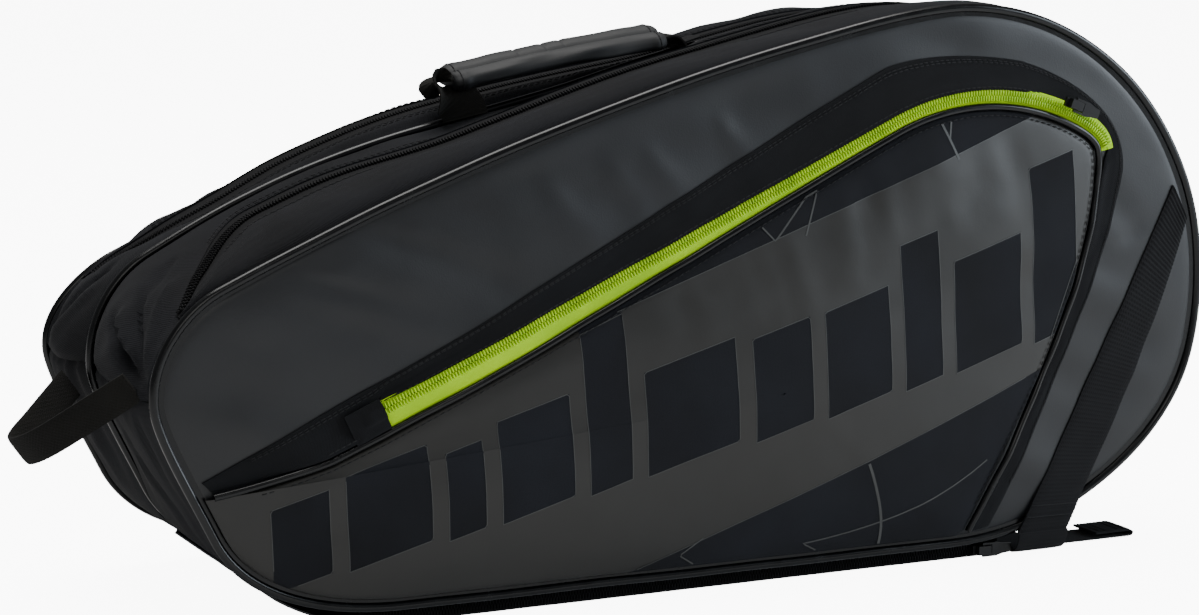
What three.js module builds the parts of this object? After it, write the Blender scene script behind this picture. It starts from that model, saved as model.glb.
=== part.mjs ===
// Racket tournament bag: two racket compartments side by side, zipped lids, a slanted outer
// pocket, a carry handle, an end loop and a stowed shoulder harness under the base.
// Millimetres. +X towards the wide rounded end, -Y the pocket side, +Z up.
// The origin is the middle of the flat underside, below the seam between the compartments.

import * as THREE from 'three';

// ---- Driving dimensions -------------------------------------------------------------------

const FRONT_DEPTH = 125; // middle seam to the front piping
const REAR_DEPTH = 72; // middle seam to the rear piping
const BASE_Z = 12; // height of the pipings' straight bottom run

const WIDE = { x: 150, z: 150, r: 160, start: -15 }; // the wide round end: centre, radius, seam angle
const NOSE = { x: -309.5, z: 126 }; // seam at the narrow end, where the zips start

const PIPING_R = 2.6;
const WALL = 2.5; // padded gusset fabric
const GUSSET_BULGE = { narrow: 8, wide: 3.5, rear: 2.5 }; // how far the outer gussets swell
const LOWER_BULGE = { narrow: 5, wide: -1 }; // the same, on the lower ends
const MID_DIP = 9; // how far the middle seam is pulled in on top of the wide half
const REAR_DROP = { narrow: 8, wide: 17 }; // how much lower the rear outline is on top
const PANEL_INSET = 3.2; // panels stop this far inside the piping centre line
const PANEL_WALL = 1.6;
const FOAM = 5;
const LINING = 0.8;
const FRONT_CROWN = 10; // how far the panels dome outwards at their middle
const REAR_CROWN = 8;
const GAP = 0.4; // clearance between pieces that touch on the real bag

const ZIP_Y = { front: -42, rear: 30 }; // centre lines of the compartment zips
const ZIP_WIDE = { front: -3, rear: -11 }; // the zips' distance from the outline, at the wide end
const TAPE_HALF = 14.5; // one tape of a compartment zip
const TAPE = 1.2;
const COIL = { width: 3, height: 1.8 };

// At the narrow end each compartment zip turns to its piping between these two heights. It ends
// that far short of the piping, with its tapes narrowed between the seams.
const ZIP_TURN = { from: 204, to: 168, short: 11, tape: 4 };

const WEB_WIDTH = 25;
const WEB = 1.6;

const POCKET_ZIP = { x: 160.5, z: 120.5, r: 142, from: 64, to: 114.7 }; // the curve of its zip
const POCKET_CROWN = 8; // the pocket panel stands this much further out at its middle

// Stowage pocket under the base: its cover from front to rear and end to end, and its zip.
const HARNESS = { y: [-116, 60], x: [-243, 188], zipX: [-200, 186] };

// Carry handle: its two feet, where it swings, and the ends of its padded wrap, in x and z.
const HANDLE = { left: [-94, 256.2], right: [42, 290.8], from: [-103, 271], to: [27, 291.5] };

// End loop: the line that it is sewn along, its sewn ends in y, its length, how far it hangs and
// how far it rolls, which lifts its front end.
const LOOP = { x: -316, z: 122, y: [-100, 14], reach: 46, width: 17, droop: 34, roll: 8.5 };

// ---- Materials ----------------------------------------------------------------------------

const paint = (color, roughness, metalness = 0) =>
  new THREE.MeshStandardMaterial({ color, roughness, metalness });

const COATED = paint(0x1c1d1f, 0.5);
const FILM = paint(0x25211f, 0.6);
const TWILL = paint(0x0c0c0d, 0.85);
const GLOSS = paint(0x0a0a0b, 0.22);
const BLACK_TAPE = paint(0x0b0b0c, 0.7);
const LIME = paint(0xa9cf10, 0.6);
const WEBBING = paint(0x0d0d0e, 0.8);
const FOAM_GREY = paint(0x3a3a3c, 0.95);
const LINING_GREY = paint(0x2b2b2d, 0.8);
const HARDWARE = paint(0x0d0d0e, 0.4);

const X_AXIS = new THREE.Vector3(1, 0, 0);
const Y_AXIS = new THREE.Vector3(0, 1, 0);
const Z_AXIS = new THREE.Vector3(0, 0, 1);
const FRONT = new THREE.Vector3(0, -1, 0);

// ---- Collecting the pieces ----------------------------------------------------------------

const group = new THREE.Group();

function add(name, geometry, material) {
  const mesh = new THREE.Mesh(geometry, material);
  mesh.name = name;
  group.add(mesh);
  return mesh;
}

// ---- The outline --------------------------------------------------------------------------

const RAD = Math.PI / 180;

function onWideEnd(degrees, radius = WIDE.r) {
  return new THREE.Vector2(
    WIDE.x + radius * Math.cos(degrees * RAD),
    WIDE.z + radius * Math.sin(degrees * RAD),
  );
}

// Counter-clockwise over the top, from the seam low on the wide end to the seam at the nose.
function upperOutline(steps) {
  const start = onWideEnd(WIDE.start);
  const path = new THREE.Path();
  path.moveTo(start.x, start.y);
  path.absarc(WIDE.x, WIDE.z, WIDE.r, WIDE.start * RAD, 90 * RAD, false);
  path.bezierCurveTo(105, 310, -94, 267, -275, 181);
  path.bezierCurveTo(-291, 173, -311, 152, NOSE.x, NOSE.z);
  return path.getPoints(steps);
}

// On round the narrow end, along the flat bottom and back up to the seam on the wide end.
function lowerOutline(steps) {
  const end = onWideEnd(WIDE.start);
  const path = new THREE.Path();
  path.moveTo(NOSE.x, NOSE.z);
  path.bezierCurveTo(-309, 112, -292, 82, -279, 55);
  path.bezierCurveTo(-266, 30, -235, BASE_Z + 1, -180, BASE_Z);
  for (const x of [-70, 40, 150]) path.lineTo(x, BASE_Z);
  path.bezierCurveTo(225, BASE_Z, 291.5, 60.3, end.x, end.y);
  return path.getPoints(steps);
}

const OUTLINE_STEPS = 6;
const UPPER = upperOutline(OUTLINE_STEPS);
const LOWER = lowerOutline(OUTLINE_STEPS);
const RING = [...UPPER.slice(0, -1), ...LOWER.slice(0, -1)];

// Each outline point with the direction that points straight out of the bag there.
function stations(points, closed) {
  const last = points.length - 1;
  return points.map((point, i) => {
    const before = points[closed ? (i + last) % (last + 1) : Math.max(i - 1, 0)];
    const after = points[closed ? (i + 1) % (last + 1) : Math.min(i + 1, last)];
    const tangent = after.clone().sub(before).normalize();
    return { point, normal: new THREE.Vector2(tangent.y, -tangent.x) };
  });
}

// Ends of the two open runs share the ring's own normals, so strips meet squarely at the seams.
const RING_STATIONS = stations(RING, true);
const UPPER_STATIONS = RING_STATIONS.slice(0, UPPER.length);
const LOWER_STATIONS = [...RING_STATIONS.slice(UPPER.length - 1), RING_STATIONS[0]];

// ---- Geometry helpers ---------------------------------------------------------------------

function meshFrom(vertices, triangles) {
  const geometry = new THREE.BufferGeometry();
  geometry.setAttribute('position', new THREE.Float32BufferAttribute(vertices.flat(), 3));
  geometry.setIndex(triangles.flat());
  geometry.computeVertexNormals();
  return geometry;
}

// Triangles that fill a section, wound the same way as its points.
function capTriangles(section) {
  const contour = section.map(([offset, y]) => new THREE.Vector2(offset, y));
  const turn = Math.sign(THREE.ShapeUtils.area(contour));
  return THREE.ShapeUtils.triangulateShape(contour.slice(), []).map(([a, b, c]) => {
    const same = Math.sign(THREE.ShapeUtils.area([contour[a], contour[b], contour[c]])) === turn;
    return same ? [a, b, c] : [a, c, b];
  });
}

// Sweeps a section round a run of stations. The section is a clockwise list of [offset, y]:
// offset is measured outwards from the outline. It may change from station to station.
function sweep(run, section, closed = false) {
  const rows = run.map((station) => section(station));
  const count = rows[0].length;
  const vertices = rows.flatMap((row, i) =>
    row.map(([offset, y]) => {
      const { point, normal } = run[i];
      return [point.x + normal.x * offset, y, point.y + normal.y * offset];
    }),
  );
  const triangles = [];
  const spans = closed ? rows.length : rows.length - 1;
  for (let i = 0; i < spans; i += 1) {
    const here = i * count;
    const there = ((i + 1) % rows.length) * count;
    for (let k = 0; k < count; k += 1) {
      const next = (k + 1) % count;
      triangles.push([here + k, there + k, here + next]);
      triangles.push([here + next, there + k, there + next]);
    }
  }
  if (!closed) {
    const lastRow = (rows.length - 1) * count;
    for (const [a, b, c] of capTriangles(rows[0])) {
      triangles.push([a, b, c], [lastRow + c, lastRow + b, lastRow + a]);
    }
  }
  return facingOut(vertices, triangles);
}

// Turns a closed body inside out when its signed volume says that it faces inwards.
function facingOut(vertices, triangles) {
  let volume = 0;
  const corner = (index) => new THREE.Vector3(...vertices[index]);
  for (const [a, b, c] of triangles) {
    volume += corner(a).dot(corner(b).cross(corner(c)));
  }
  const faces = volume > 0 ? triangles : triangles.map(([a, b, c]) => [a, c, b]);
  return meshFrom(vertices, faces);
}

// A wall of even thickness. At each outline point, profile gives [offset, y] pairs of its outer side.
function wall(run, profile, thickness) {
  return sweep(run, ({ point }) => {
    const outer = profile(point);
    const inner = outer.map(([offset, y]) => [offset - thickness, y]).reverse();
    return [...outer, ...inner];
  });
}

function ring(y, radius, offsetAt = () => 0) {
  const SIDES = 6;
  return sweep(
    RING_STATIONS,
    ({ point }) =>
      Array.from({ length: SIDES }, (_, k) => {
        const turn = (k * 2 * Math.PI) / SIDES;
        return [offsetAt(point) + radius * Math.cos(turn), y + radius * Math.sin(turn)];
      }),
    true,
  );
}

// A flat plate in an XZ plane, between two values of y.
function plate(shape, y0, y1, curveSegments = 6) {
  const options = { depth: Math.abs(y1 - y0), bevelEnabled: false, curveSegments };
  const geometry = new THREE.ExtrudeGeometry(shape, options);
  geometry.rotateX(Math.PI / 2);
  geometry.translate(0, Math.max(y0, y1), 0);
  return geometry;
}

function block([x0, x1], [y0, y1], [z0, z1]) {
  const geometry = new THREE.BoxGeometry(x1 - x0, y1 - y0, z1 - z0);
  geometry.translate((x0 + x1) / 2, (y0 + y1) / 2, (z0 + z1) / 2);
  return geometry;
}

// ---- Panels -------------------------------------------------------------------------------

const PANEL_CENTRE = new THREE.Vector2(40, 150);

function inset(distance, offsetAt = () => 0) {
  return RING_STATIONS.map(({ point, normal }) =>
    point.clone().addScaledVector(normal, offsetAt(point) - distance),
  );
}

// 0 at the panel's middle and 1 on the piping, measured along a ray from the middle.
function reach(point) {
  const ray = point.clone().sub(PANEL_CENTRE);
  let far = 1;
  for (let i = 0; i < RING.length; i += 1) {
    const a = RING[i].clone().sub(PANEL_CENTRE);
    const b = RING[(i + 1) % RING.length].clone().sub(PANEL_CENTRE);
    const edge = b.clone().sub(a);
    const cross = ray.cross(edge);
    const along = a.cross(edge) / cross;
    const across = a.cross(ray) / cross;
    if (along > 0 && across >= 0 && across <= 1) far = along;
  }
  return Math.min(1 / far, 1);
}

const dome = (point, crown) => crown * (1 - reach(point) ** 2);

// A domed plate inside any outline: rings of points shrink towards a middle. The side is -1 for
// the front of the bag and 1 for the rear, and rise(point, scale) is how far out the plate stands.
function domedPlate(outline, centre, yNear, thickness, side, rise) {
  const RINGS = [1, 0.8, 0.5];
  const count = outline.length;
  const layer = (y) => {
    const place = (p, scale) => [p.x, y + side * rise(p, scale), p.y];
    const rows = RINGS.flatMap((scale) => outline.map((p) => place(centre.clone().lerp(p, scale), scale)));
    return [...rows, place(centre, 0)];
  };
  const vertices = [...layer(yNear), ...layer(yNear + side * thickness)];
  const second = RINGS.length * count + 1;
  const rim = (RINGS.length - 1) * count;
  const triangles = [];
  for (let k = 0; k < count; k += 1) {
    const next = (k + 1) % count;
    for (let outer = 0; outer < rim; outer += count) {
      const [a, b, c, d] = [outer + k, outer + next, outer + count + next, outer + count + k];
      triangles.push([a, b, c], [a, c, d]);
      triangles.push([second + c, second + b, second + a], [second + d, second + c, second + a]);
    }
    triangles.push([rim + k, rim + next, second - 1]);
    triangles.push([second + rim + next, second + rim + k, 2 * second - 1]);
    triangles.push([next, k, second + k], [next, second + k, second + next]);
  }
  return facingOut(vertices, triangles);
}

// The coated outer, the foam board and the lining of one lid, from the outside in.
function panelStack(name, side, depth, crown, sideOffset) {
  const rise = (point) => dome(point, crown);
  const layer = (distance, near, thickness) =>
    domedPlate(inset(distance, sideOffset), PANEL_CENTRE, side * near, thickness, side, rise);
  const outer = depth - 1;
  const foam = outer - 1.2 - FOAM;
  const lining = foam - 1.2 - LINING;
  add(`${name}_panel`, layer(PANEL_INSET, outer, PANEL_WALL), COATED);
  add(`${name}_panel_foam`, layer(9, foam, FOAM), FOAM_GREY);
  add(`${name}_panel_lining`, layer(9, lining, LINING), LINING_GREY);
}

// ---- Gussets, pipings and compartment zips --------------------------------------------------

const smooth = (from, to, value) => THREE.MathUtils.smoothstep(value, from, to);

// The middle seam sits flush at the narrow end, is pulled in on top, and is tucked up below.
function midOffset(point) {
  const top = smooth(130, 215, point.y);
  const wide = smooth(-200, -20, point.x);
  return THREE.MathUtils.lerp(-4, 4.5 - (MID_DIP + 4.5) * wide, top);
}

// The rear compartment is smaller than the front one, most of all over the wide half.
function rearOffset({ x, y }) {
  const narrow = REAR_DROP.narrow * smooth(125, 185, y);
  const wide = REAR_DROP.wide * smooth(20, 105, y);
  return -THREE.MathUtils.lerp(narrow, wide, smooth(-120, 60, x));
}

const gussetSwell = {
  front: ({ x }) => THREE.MathUtils.lerp(GUSSET_BULGE.narrow, GUSSET_BULGE.wide, smooth(-60, 90, x)),
  rear: () => GUSSET_BULGE.rear,
};

// 0 along most of a compartment zip and 1 where it has turned to the piping at the narrow end.
const zipTurn = ({ x, y }) => (x < 0 ? 1 - smooth(ZIP_TURN.to, ZIP_TURN.from, y) : 0);
const ZIP_STATIONS = UPPER_STATIONS.filter(({ point }) => point.x > 0 || point.y > ZIP_TURN.to);

// How far outside the outline each zip's tape lies: raised at the narrow end, sunk at the wide one.
const zipOffset = {
  front: (point) => {
    const along = THREE.MathUtils.lerp(5.5, ZIP_WIDE.front, smooth(-205, -110, point.x));
    return THREE.MathUtils.lerp(along, 1, zipTurn(point));
  },
  rear: (point) => {
    const narrow = THREE.MathUtils.lerp(3, 6.5, smooth(-235, -185, point.x));
    const along = THREE.MathUtils.lerp(narrow, ZIP_WIDE.rear, smooth(-150, 40, point.x));
    return THREE.MathUtils.lerp(along, rearOffset(point) + 1, zipTurn(point));
  },
};

// A zip half's section: flat tape with the raised coil along the edge that meets the other half.
function zipSection(centre, towards, width, face) {
  const edge = centre + towards * GAP;
  const foot = edge + towards * Math.min(COIL.width, width / 2);
  const end = centre + towards * width;
  const crest = face + COIL.height;
  return [[crest, edge], [crest, foot], [face, foot], [face, end], [face - TAPE, end], [face - TAPE, edge]];
}

// One compartment's sides. Offsets are measured from the outline that sideOffset gives.
function compartmentSides(name, side, depth, sideOffset) {
  const { lerp } = THREE.MathUtils;
  const seam = side * (PIPING_R + GAP);
  const pipingEdge = side * (depth - PIPING_R - GAP);
  const zipAt = (point) => lerp(ZIP_Y[name], side * (depth - ZIP_TURN.short), zipTurn(point));
  const tapeAt = (point) => lerp(TAPE_HALF, ZIP_TURN.tape, zipTurn(point));
  const hasZip = (point) => ZIP_STATIONS.some((station) => station.point === point);

  // From the middle seam to the zip, or to the piping past the zip's end.
  const inner = (point) => {
    const edge = hasZip(point) ? zipAt(point) - side * (tapeAt(point) + GAP) : pipingEdge;
    const low = midOffset(point);
    const high = hasZip(point) ? zipOffset[name](point) : sideOffset(point);
    const middle = lerp(low, high, 0.35) + LOWER_BULGE.narrow * zipTurn(point);
    return [[low, seam], [middle, (seam + edge) / 2], [high, edge]];
  };
  add(`${name}_inner_gusset`, wall(UPPER_STATIONS, inner, WALL), TWILL);

  const zipPart = (towards) =>
    sweep(ZIP_STATIONS, ({ point }) =>
      zipSection(zipAt(point), towards, tapeAt(point), zipOffset[name](point)));
  add(`${name}_zip_inner_half`, zipPart(-side), BLACK_TAPE);
  add(`${name}_zip_outer_half`, zipPart(side), BLACK_TAPE);

  const outer = (point) => {
    const edge = zipAt(point) + side * (tapeAt(point) + GAP);
    const [start, end] = [zipOffset[name](point), sideOffset(point) + 1.5];
    const swell = gussetSwell[name](point) * (1 - zipTurn(point));
    const along = [[0, 0], [0.35, 0.7], [0.75, 1], [1, 0]];
    return along.map(([share, out]) => [lerp(start, end, share) + swell * out, lerp(edge, pipingEdge, share)]);
  };
  add(`${name}_outer_gusset`, wall(ZIP_STATIONS, outer, WALL), TWILL);

  const lower = (point) => {
    const high = smooth(20, 90, point.y);
    const belly = lerp(LOWER_BULGE.narrow, LOWER_BULGE.wide, smooth(-100, 120, point.x));
    const along = [[seam, midOffset(point)], [(side * depth) / 2, belly], [pipingEdge, 0]];
    return along.map(([y, out]) => [out * high + (sideOffset(point) * y) / pipingEdge, y]);
  };
  add(`${name}_lower_gusset`, wall(LOWER_STATIONS, lower, WALL), TWILL);
  add(`${name}_piping`, ring(side * depth, PIPING_R, sideOffset), GLOSS);
}

// ---- Carcass inside and underneath ----------------------------------------------------------

function carcass() {
  add('mid_piping', ring(0, PIPING_R, midOffset), GLOSS);
  const divider = new THREE.Shape(inset(PIPING_R + 2, midOffset));
  add('divider_board', plate(divider, -2.5, 2.5), FOAM_GREY);
  add('front_base_foam', block([-165, 150], [-112, -8], [15.2, 20]), FOAM_GREY);
  add('rear_base_foam', block([-165, 150], [8, 60], [15.2, 20]), FOAM_GREY);
}

// Height of the gusset's underside above the floor at x.
function undersideAt(x) {
  const below = LOWER.filter((point) => point.y < 60);
  const i = below.findIndex((point) => point.x >= x);
  const [a, b] = [below[Math.max(i - 1, 0)], below[Math.max(i, 1)]];
  return THREE.MathUtils.mapLinear(x, a.x, b.x, a.y, b.y);
}

// The coated cover is one sheet with its rear edge turned up to the gusset. Its narrow end curves
// up to meet the bag, and its wide end is the mouth where the webbing comes out.
function harnessCover() {
  const path = new THREE.Path();
  path.moveTo(HARNESS.x[0], 17);
  path.bezierCurveTo(-225, 6, -205, 0, -180, 0);
  path.lineTo(HARNESS.x[1], 0);
  const [front, rear] = HARNESS.y;
  const sheet = 1.5;
  const section = ({ point, normal }) => {
    const room = (undersideAt(point.x) - point.y) / -normal.y;
    const top = -THREE.MathUtils.clamp(room - 1.5, sheet + 0.8, BASE_Z - 0.6);
    return [[0, front], [0, rear], [top, rear], [top, rear - sheet], [-sheet, rear - sheet], [-sheet, front]];
  };
  add('harness_cover', sweep(stations(path.getPoints(4), false), section), COATED);
}

// A flat shape given in YZ, drawn out along X.
function alongX(points, x0, x1) {
  const shape = new THREE.Shape(points.map(([y, z]) => new THREE.Vector2(y, z)));
  const geometry = new THREE.ExtrudeGeometry(shape, { depth: x1 - x0, bevelEnabled: false });
  const turn = new THREE.Matrix4().makeBasis(Y_AXIS, Z_AXIS, X_AXIS);
  geometry.applyMatrix4(turn);
  geometry.translate(x0, 0, 0);
  return geometry;
}

// A flat shape in XY, drawn upwards.
function upright(shape, z0, z1) {
  const options = { depth: z1 - z0, bevelEnabled: false, curveSegments: 4 };
  const geometry = new THREE.ExtrudeGeometry(shape, options);
  geometry.translate(0, 0, z0);
  return geometry;
}

function roundedRectangle(x0, x1, y0, y1, r) {
  const shape = new THREE.Shape();
  shape.absarc(x1 - r, y0 + r, r, -90 * RAD, 0, false);
  shape.absarc(x1 - r, y1 - r, r, 0, 90 * RAD, false);
  shape.absarc(x0 + r, y1 - r, r, 90 * RAD, 180 * RAD, false);
  shape.absarc(x0 + r, y0 + r, r, 180 * RAD, 270 * RAD, false);
  return shape;
}

function harness() {
  harnessCover();
  const face = HARNESS.y[0] - GAP;
  const tape = face - TAPE;
  const coil = tape - COIL.height;
  const section = [
    [face, 0.8],
    [face, 11],
    [tape, 11],
    [tape, 6.8],
    [coil, 6.8],
    [coil, 3.6],
    [tape, 3.6],
    [tape, 0.8],
  ];
  add('harness_zip', alongX(section, ...HARNESS.zipX), BLACK_TAPE);
  const strap = (y0, y1) => upright(roundedRectangle(-185, 176, y0, y1, 22), 2.2, 10.8);
  add('front_shoulder_strap', strap(-108, -38), FOAM_GREY);
  add('rear_shoulder_strap', strap(-30, 40), FOAM_GREY);
}

// ---- Webbing ------------------------------------------------------------------------------

const WEB_FOOT = { left: 191, right: 221 }; // where the webbing passes under the base
const WEB_TOP = { left: [290, 207], right: [300.5, 187] };

// A thin sheet between two edges with as many points each. The layers give the y of its faces.
function sheetBetween(left, right, layers) {
  const rows = left.flatMap((point, i) => [point, right[i]]);
  const vertices = layers.flatMap((yAt) => rows.map((point) => [point.x, yAt(point), point.y]));
  const layer = rows.length;
  const triangles = [];
  const quad = (a, b, c, d) => triangles.push([a, b, c], [a, c, d]);
  for (let k = 0; k + 2 < layer; k += 2) {
    quad(k, k + 1, k + 3, k + 2);
    quad(layer + k + 1, layer + k, layer + k + 2, layer + k + 3);
    quad(k, k + 2, layer + k + 2, layer + k);
    quad(k + 3, k + 1, layer + k + 1, layer + k + 3);
  }
  quad(1, 0, layer, layer + 1);
  quad(layer - 2, layer - 1, 2 * layer - 1, 2 * layer - 2);
  return facingOut(vertices, triangles);
}

// A ribbon on a domed panel, from the base up to the piping at the wide end.
function panelWebbing(side, depth, crown, sideOffset) {
  const STEPS = 7;
  const onSide = (point) => point.clone().addScalar(sideOffset(point));
  const left = new THREE.LineCurve(new THREE.Vector2(WEB_FOOT.left, 16), new THREE.Vector2(...WEB_TOP.left));
  const right = new THREE.QuadraticBezierCurve(
    new THREE.Vector2(WEB_FOOT.right + 2, 16),
    new THREE.Vector2(272, 103),
    new THREE.Vector2(...WEB_TOP.right),
  );
  const overPiping = (point) => 2.6 * (1 - smooth(16, 50, point.y));
  const layers = [1, 1 + WEB].map((lift) => (point) => {
    const out = depth - 1 + PANEL_WALL + lift + overPiping(point) + dome(point, crown);
    return side * out;
  });
  return sheetBetween(left.getPoints(STEPS).map(onSide), right.getPoints(STEPS).map(onSide), layers);
}

// A band of webbing drawn along X whose YZ centre line is a list of points.
function ribbon(points, x0, x1) {
  const run = stations(points.map(([y, z]) => new THREE.Vector2(y, z)), false);
  const edge = (sign) =>
    run.map(({ point, normal }) => {
      const p = point.clone().addScaledVector(normal, (sign * WEB) / 2);
      return [p.x, p.y];
    });
  return alongX([...edge(1), ...edge(-1).reverse()], x0, x1);
}

function ladderLock(y0, y1) {
  const shape = roundedRectangle(WEB_FOOT.left - 2, WEB_FOOT.right + 2, y0, y1, 3);
  for (const share of [0.25, 0.65]) {
    const y = THREE.MathUtils.lerp(y0, y1, share);
    const slot = roundedRectangle(WEB_FOOT.left + 2, WEB_FOOT.right - 2, y, y + 3.4, 1);
    shape.holes.push(new THREE.Path(slot.getPoints(1).reverse()));
  }
  return upright(shape, 1.2, 5);
}

function webbing() {
  add('front_webbing', panelWebbing(-1, FRONT_DEPTH, FRONT_CROWN, () => 0), WEBBING);
  add('rear_webbing', panelWebbing(1, REAR_DEPTH, REAR_CROWN, rearOffset), WEBBING);
  const under = (side, depth, end) => [
    [side * (depth + 2.4), 7],
    [side * (depth - 1), 3.4],
    [side * (depth - 6), 2],
    [end, 2],
  ];
  const { left, right } = WEB_FOOT;
  add('front_webbing_under', ribbon(under(-1, FRONT_DEPTH, -62), left, right - 1), WEBBING);
  add('rear_webbing_under', ribbon(under(1, REAR_DEPTH, 26), left, right - 1), WEBBING);
  add('front_ladder_lock', ladderLock(-60, -36), HARDWARE);
  add('rear_ladder_lock', ladderLock(0, 24), HARDWARE);
}

// The loose end lies on the floor, with its tip folded back and sewn.
function strapTail() {
  const profile = [[221, 0.3], [289, 0.3], [289, 5], [259, 5], [259, 1.9], [221, 1.9]];
  const shape = new THREE.Shape(profile.map(([x, z]) => new THREE.Vector2(x, z)));
  add('front_strap_tail', plate(shape, -112, -112 + WEB_WIDTH), WEBBING);
}

// ---- Pocket on the front panel ----------------------------------------------------------------

// From the narrow end up the slanted run, over the round corner and down to the zip's lower end.
function pocketZipPath() {
  const path = new THREE.Path();
  const { x, z, r, from, to } = POCKET_ZIP;
  path.moveTo(-199, 114.5);
  path.lineTo(x + r * Math.cos(to * RAD), z + r * Math.sin(to * RAD));
  path.absarc(x, z, r, to * RAD, from * RAD, true);
  path.bezierCurveTo(232, 243.5, 241, 238, 242, 229);
  return path.getSpacedPoints(15);
}

const ZIP_RUN = stations(pocketZipPath(), false);
const pocketDepth = (point) => THREE.MathUtils.lerp(12.5, 6.2, smooth(-150, 110, point.x));

// The pocket's free edge: up its right side, along the zip and down to the narrow end.
function pocketEdge() {
  const right = new THREE.CubicBezierCurve(
    new THREE.Vector2(157, 19),
    new THREE.Vector2(180, 66),
    new THREE.Vector2(231, 148),
    new THREE.Vector2(236, 214),
  ).getPoints(5);
  const top = ZIP_RUN.map(({ point, normal }) => point.clone().addScaledVector(normal, pocketDepth(point)));
  const left = new THREE.QuadraticBezierCurve(
    new THREE.Vector2(-222, 92),
    new THREE.Vector2(-250, 84),
    new THREE.Vector2(-281, 79),
  ).getPoints(2);
  return [...right, ...top.reverse(), ...left];
}

const POCKET_EDGE = stations(pocketEdge(), false);
const POCKET_CENTRE = new THREE.Vector2(30, 110);
const panelFace = (point) => -(FRONT_DEPTH - 1 + PANEL_WALL + dome(point, FRONT_CROWN));

// A section on the front panel: heights are measured out from the panel's face.
const onPanel =
  (pairs) =>
  ({ point }) =>
    pairs.map(([offset, height]) => [offset, panelFace(point) - height]);

function pocketPiping() {
  const SIDES = 6;
  const r = 2;
  const circle = Array.from({ length: SIDES }, (_, k) => (k * 2 * Math.PI) / SIDES);
  const section = circle.map((turn) => [r * Math.cos(turn), 3.4 + r * Math.sin(turn)]);
  add('pocket_piping', sweep(POCKET_EDGE, onPanel(section)), GLOSS);
}

function pocketPanel() {
  const free = POCKET_EDGE.map(({ point, normal }) => point.clone().addScaledVector(normal, -2.5));
  const sewn = LOWER_STATIONS.filter(({ point }) => point.y < 76 && point.x < 151).map(({ point, normal }) =>
    point.clone().addScaledVector(normal, -5),
  );
  const rise = (point, scale) => dome(point, FRONT_CROWN) + POCKET_CROWN * (1 - scale ** 2);
  const near = -(FRONT_DEPTH - 1 + PANEL_WALL + 2.6);
  add('pocket_panel', domedPlate([...free, ...sewn], POCKET_CENTRE, near, PANEL_WALL, -1, rise), FILM);
}

const ZIP_HEIGHT = { back: 2.4, face: 3.6, crest: 5.2 }; // of its tape and coil over the panel

// Half of the pocket's zip. The coil lies along the centre line; the run's normal points down.
function pocketZipHalf(name, sign) {
  const section = ({ point }) => {
    const width = sign > 0 ? pocketDepth(point) - 2.5 : 5;
    const { back, face, crest } = ZIP_HEIGHT;
    const profile = [[GAP, back], [width, back], [width, face], [2.6, face], [2.6, crest], [GAP, crest]];
    return profile.map(([offset, height]) => [sign * offset, panelFace(point) - height]);
  };
  add(name, sweep(ZIP_RUN, section), LIME);
}

// The facing runs from the sewn tip at the narrow end, over the zip and down the far side.
function pocketBand() {
  const outer = new THREE.Path();
  outer.moveTo(-286, 86);
  outer.lineTo(-200, 128);
  outer.bezierCurveTo(-130, 158, -20, 220, 98, 278);
  outer.bezierCurveTo(112, 285, 150, 287, 187, 280);
  outer.bezierCurveTo(220, 270, 256, 250, 255, 218);
  outer.bezierCurveTo(248, 170, 205, 85, 172, 20);
  const offsetFrom = (run, distance) =>
    run.map(({ point, normal }) => point.clone().addScaledVector(normal, distance));
  const rightSide = POCKET_EDGE.slice(0, 6);
  const leftEnd = POCKET_EDGE.slice(-3);
  const inner = [
    ...offsetFrom(rightSide, 2.6),
    ...offsetFrom(ZIP_RUN, -6).reverse(),
    ...offsetFrom(leftEnd, 2.6),
  ];
  const STEPS = 24;
  const innerPath = new THREE.Path(inner.reverse());
  const layers = [0.8, 2].map((height) => (point) => panelFace(point) - height);
  const sheet = sheetBetween(outer.getSpacedPoints(STEPS), innerPath.getSpacedPoints(STEPS), layers);
  add('pocket_band', sheet, TWILL);
}

function pocket() {
  pocketBand();
  pocketZipHalf('pocket_zip_upper_half', -1);
  pocketZipHalf('pocket_zip_lower_half', 1);
  pocketPiping();
  pocketPanel();
}

// ---- Handle and end loop ----------------------------------------------------------------------

const FOOT_DROP = 2.3; // room under the webbing's ends, so that the handle can swing

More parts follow.
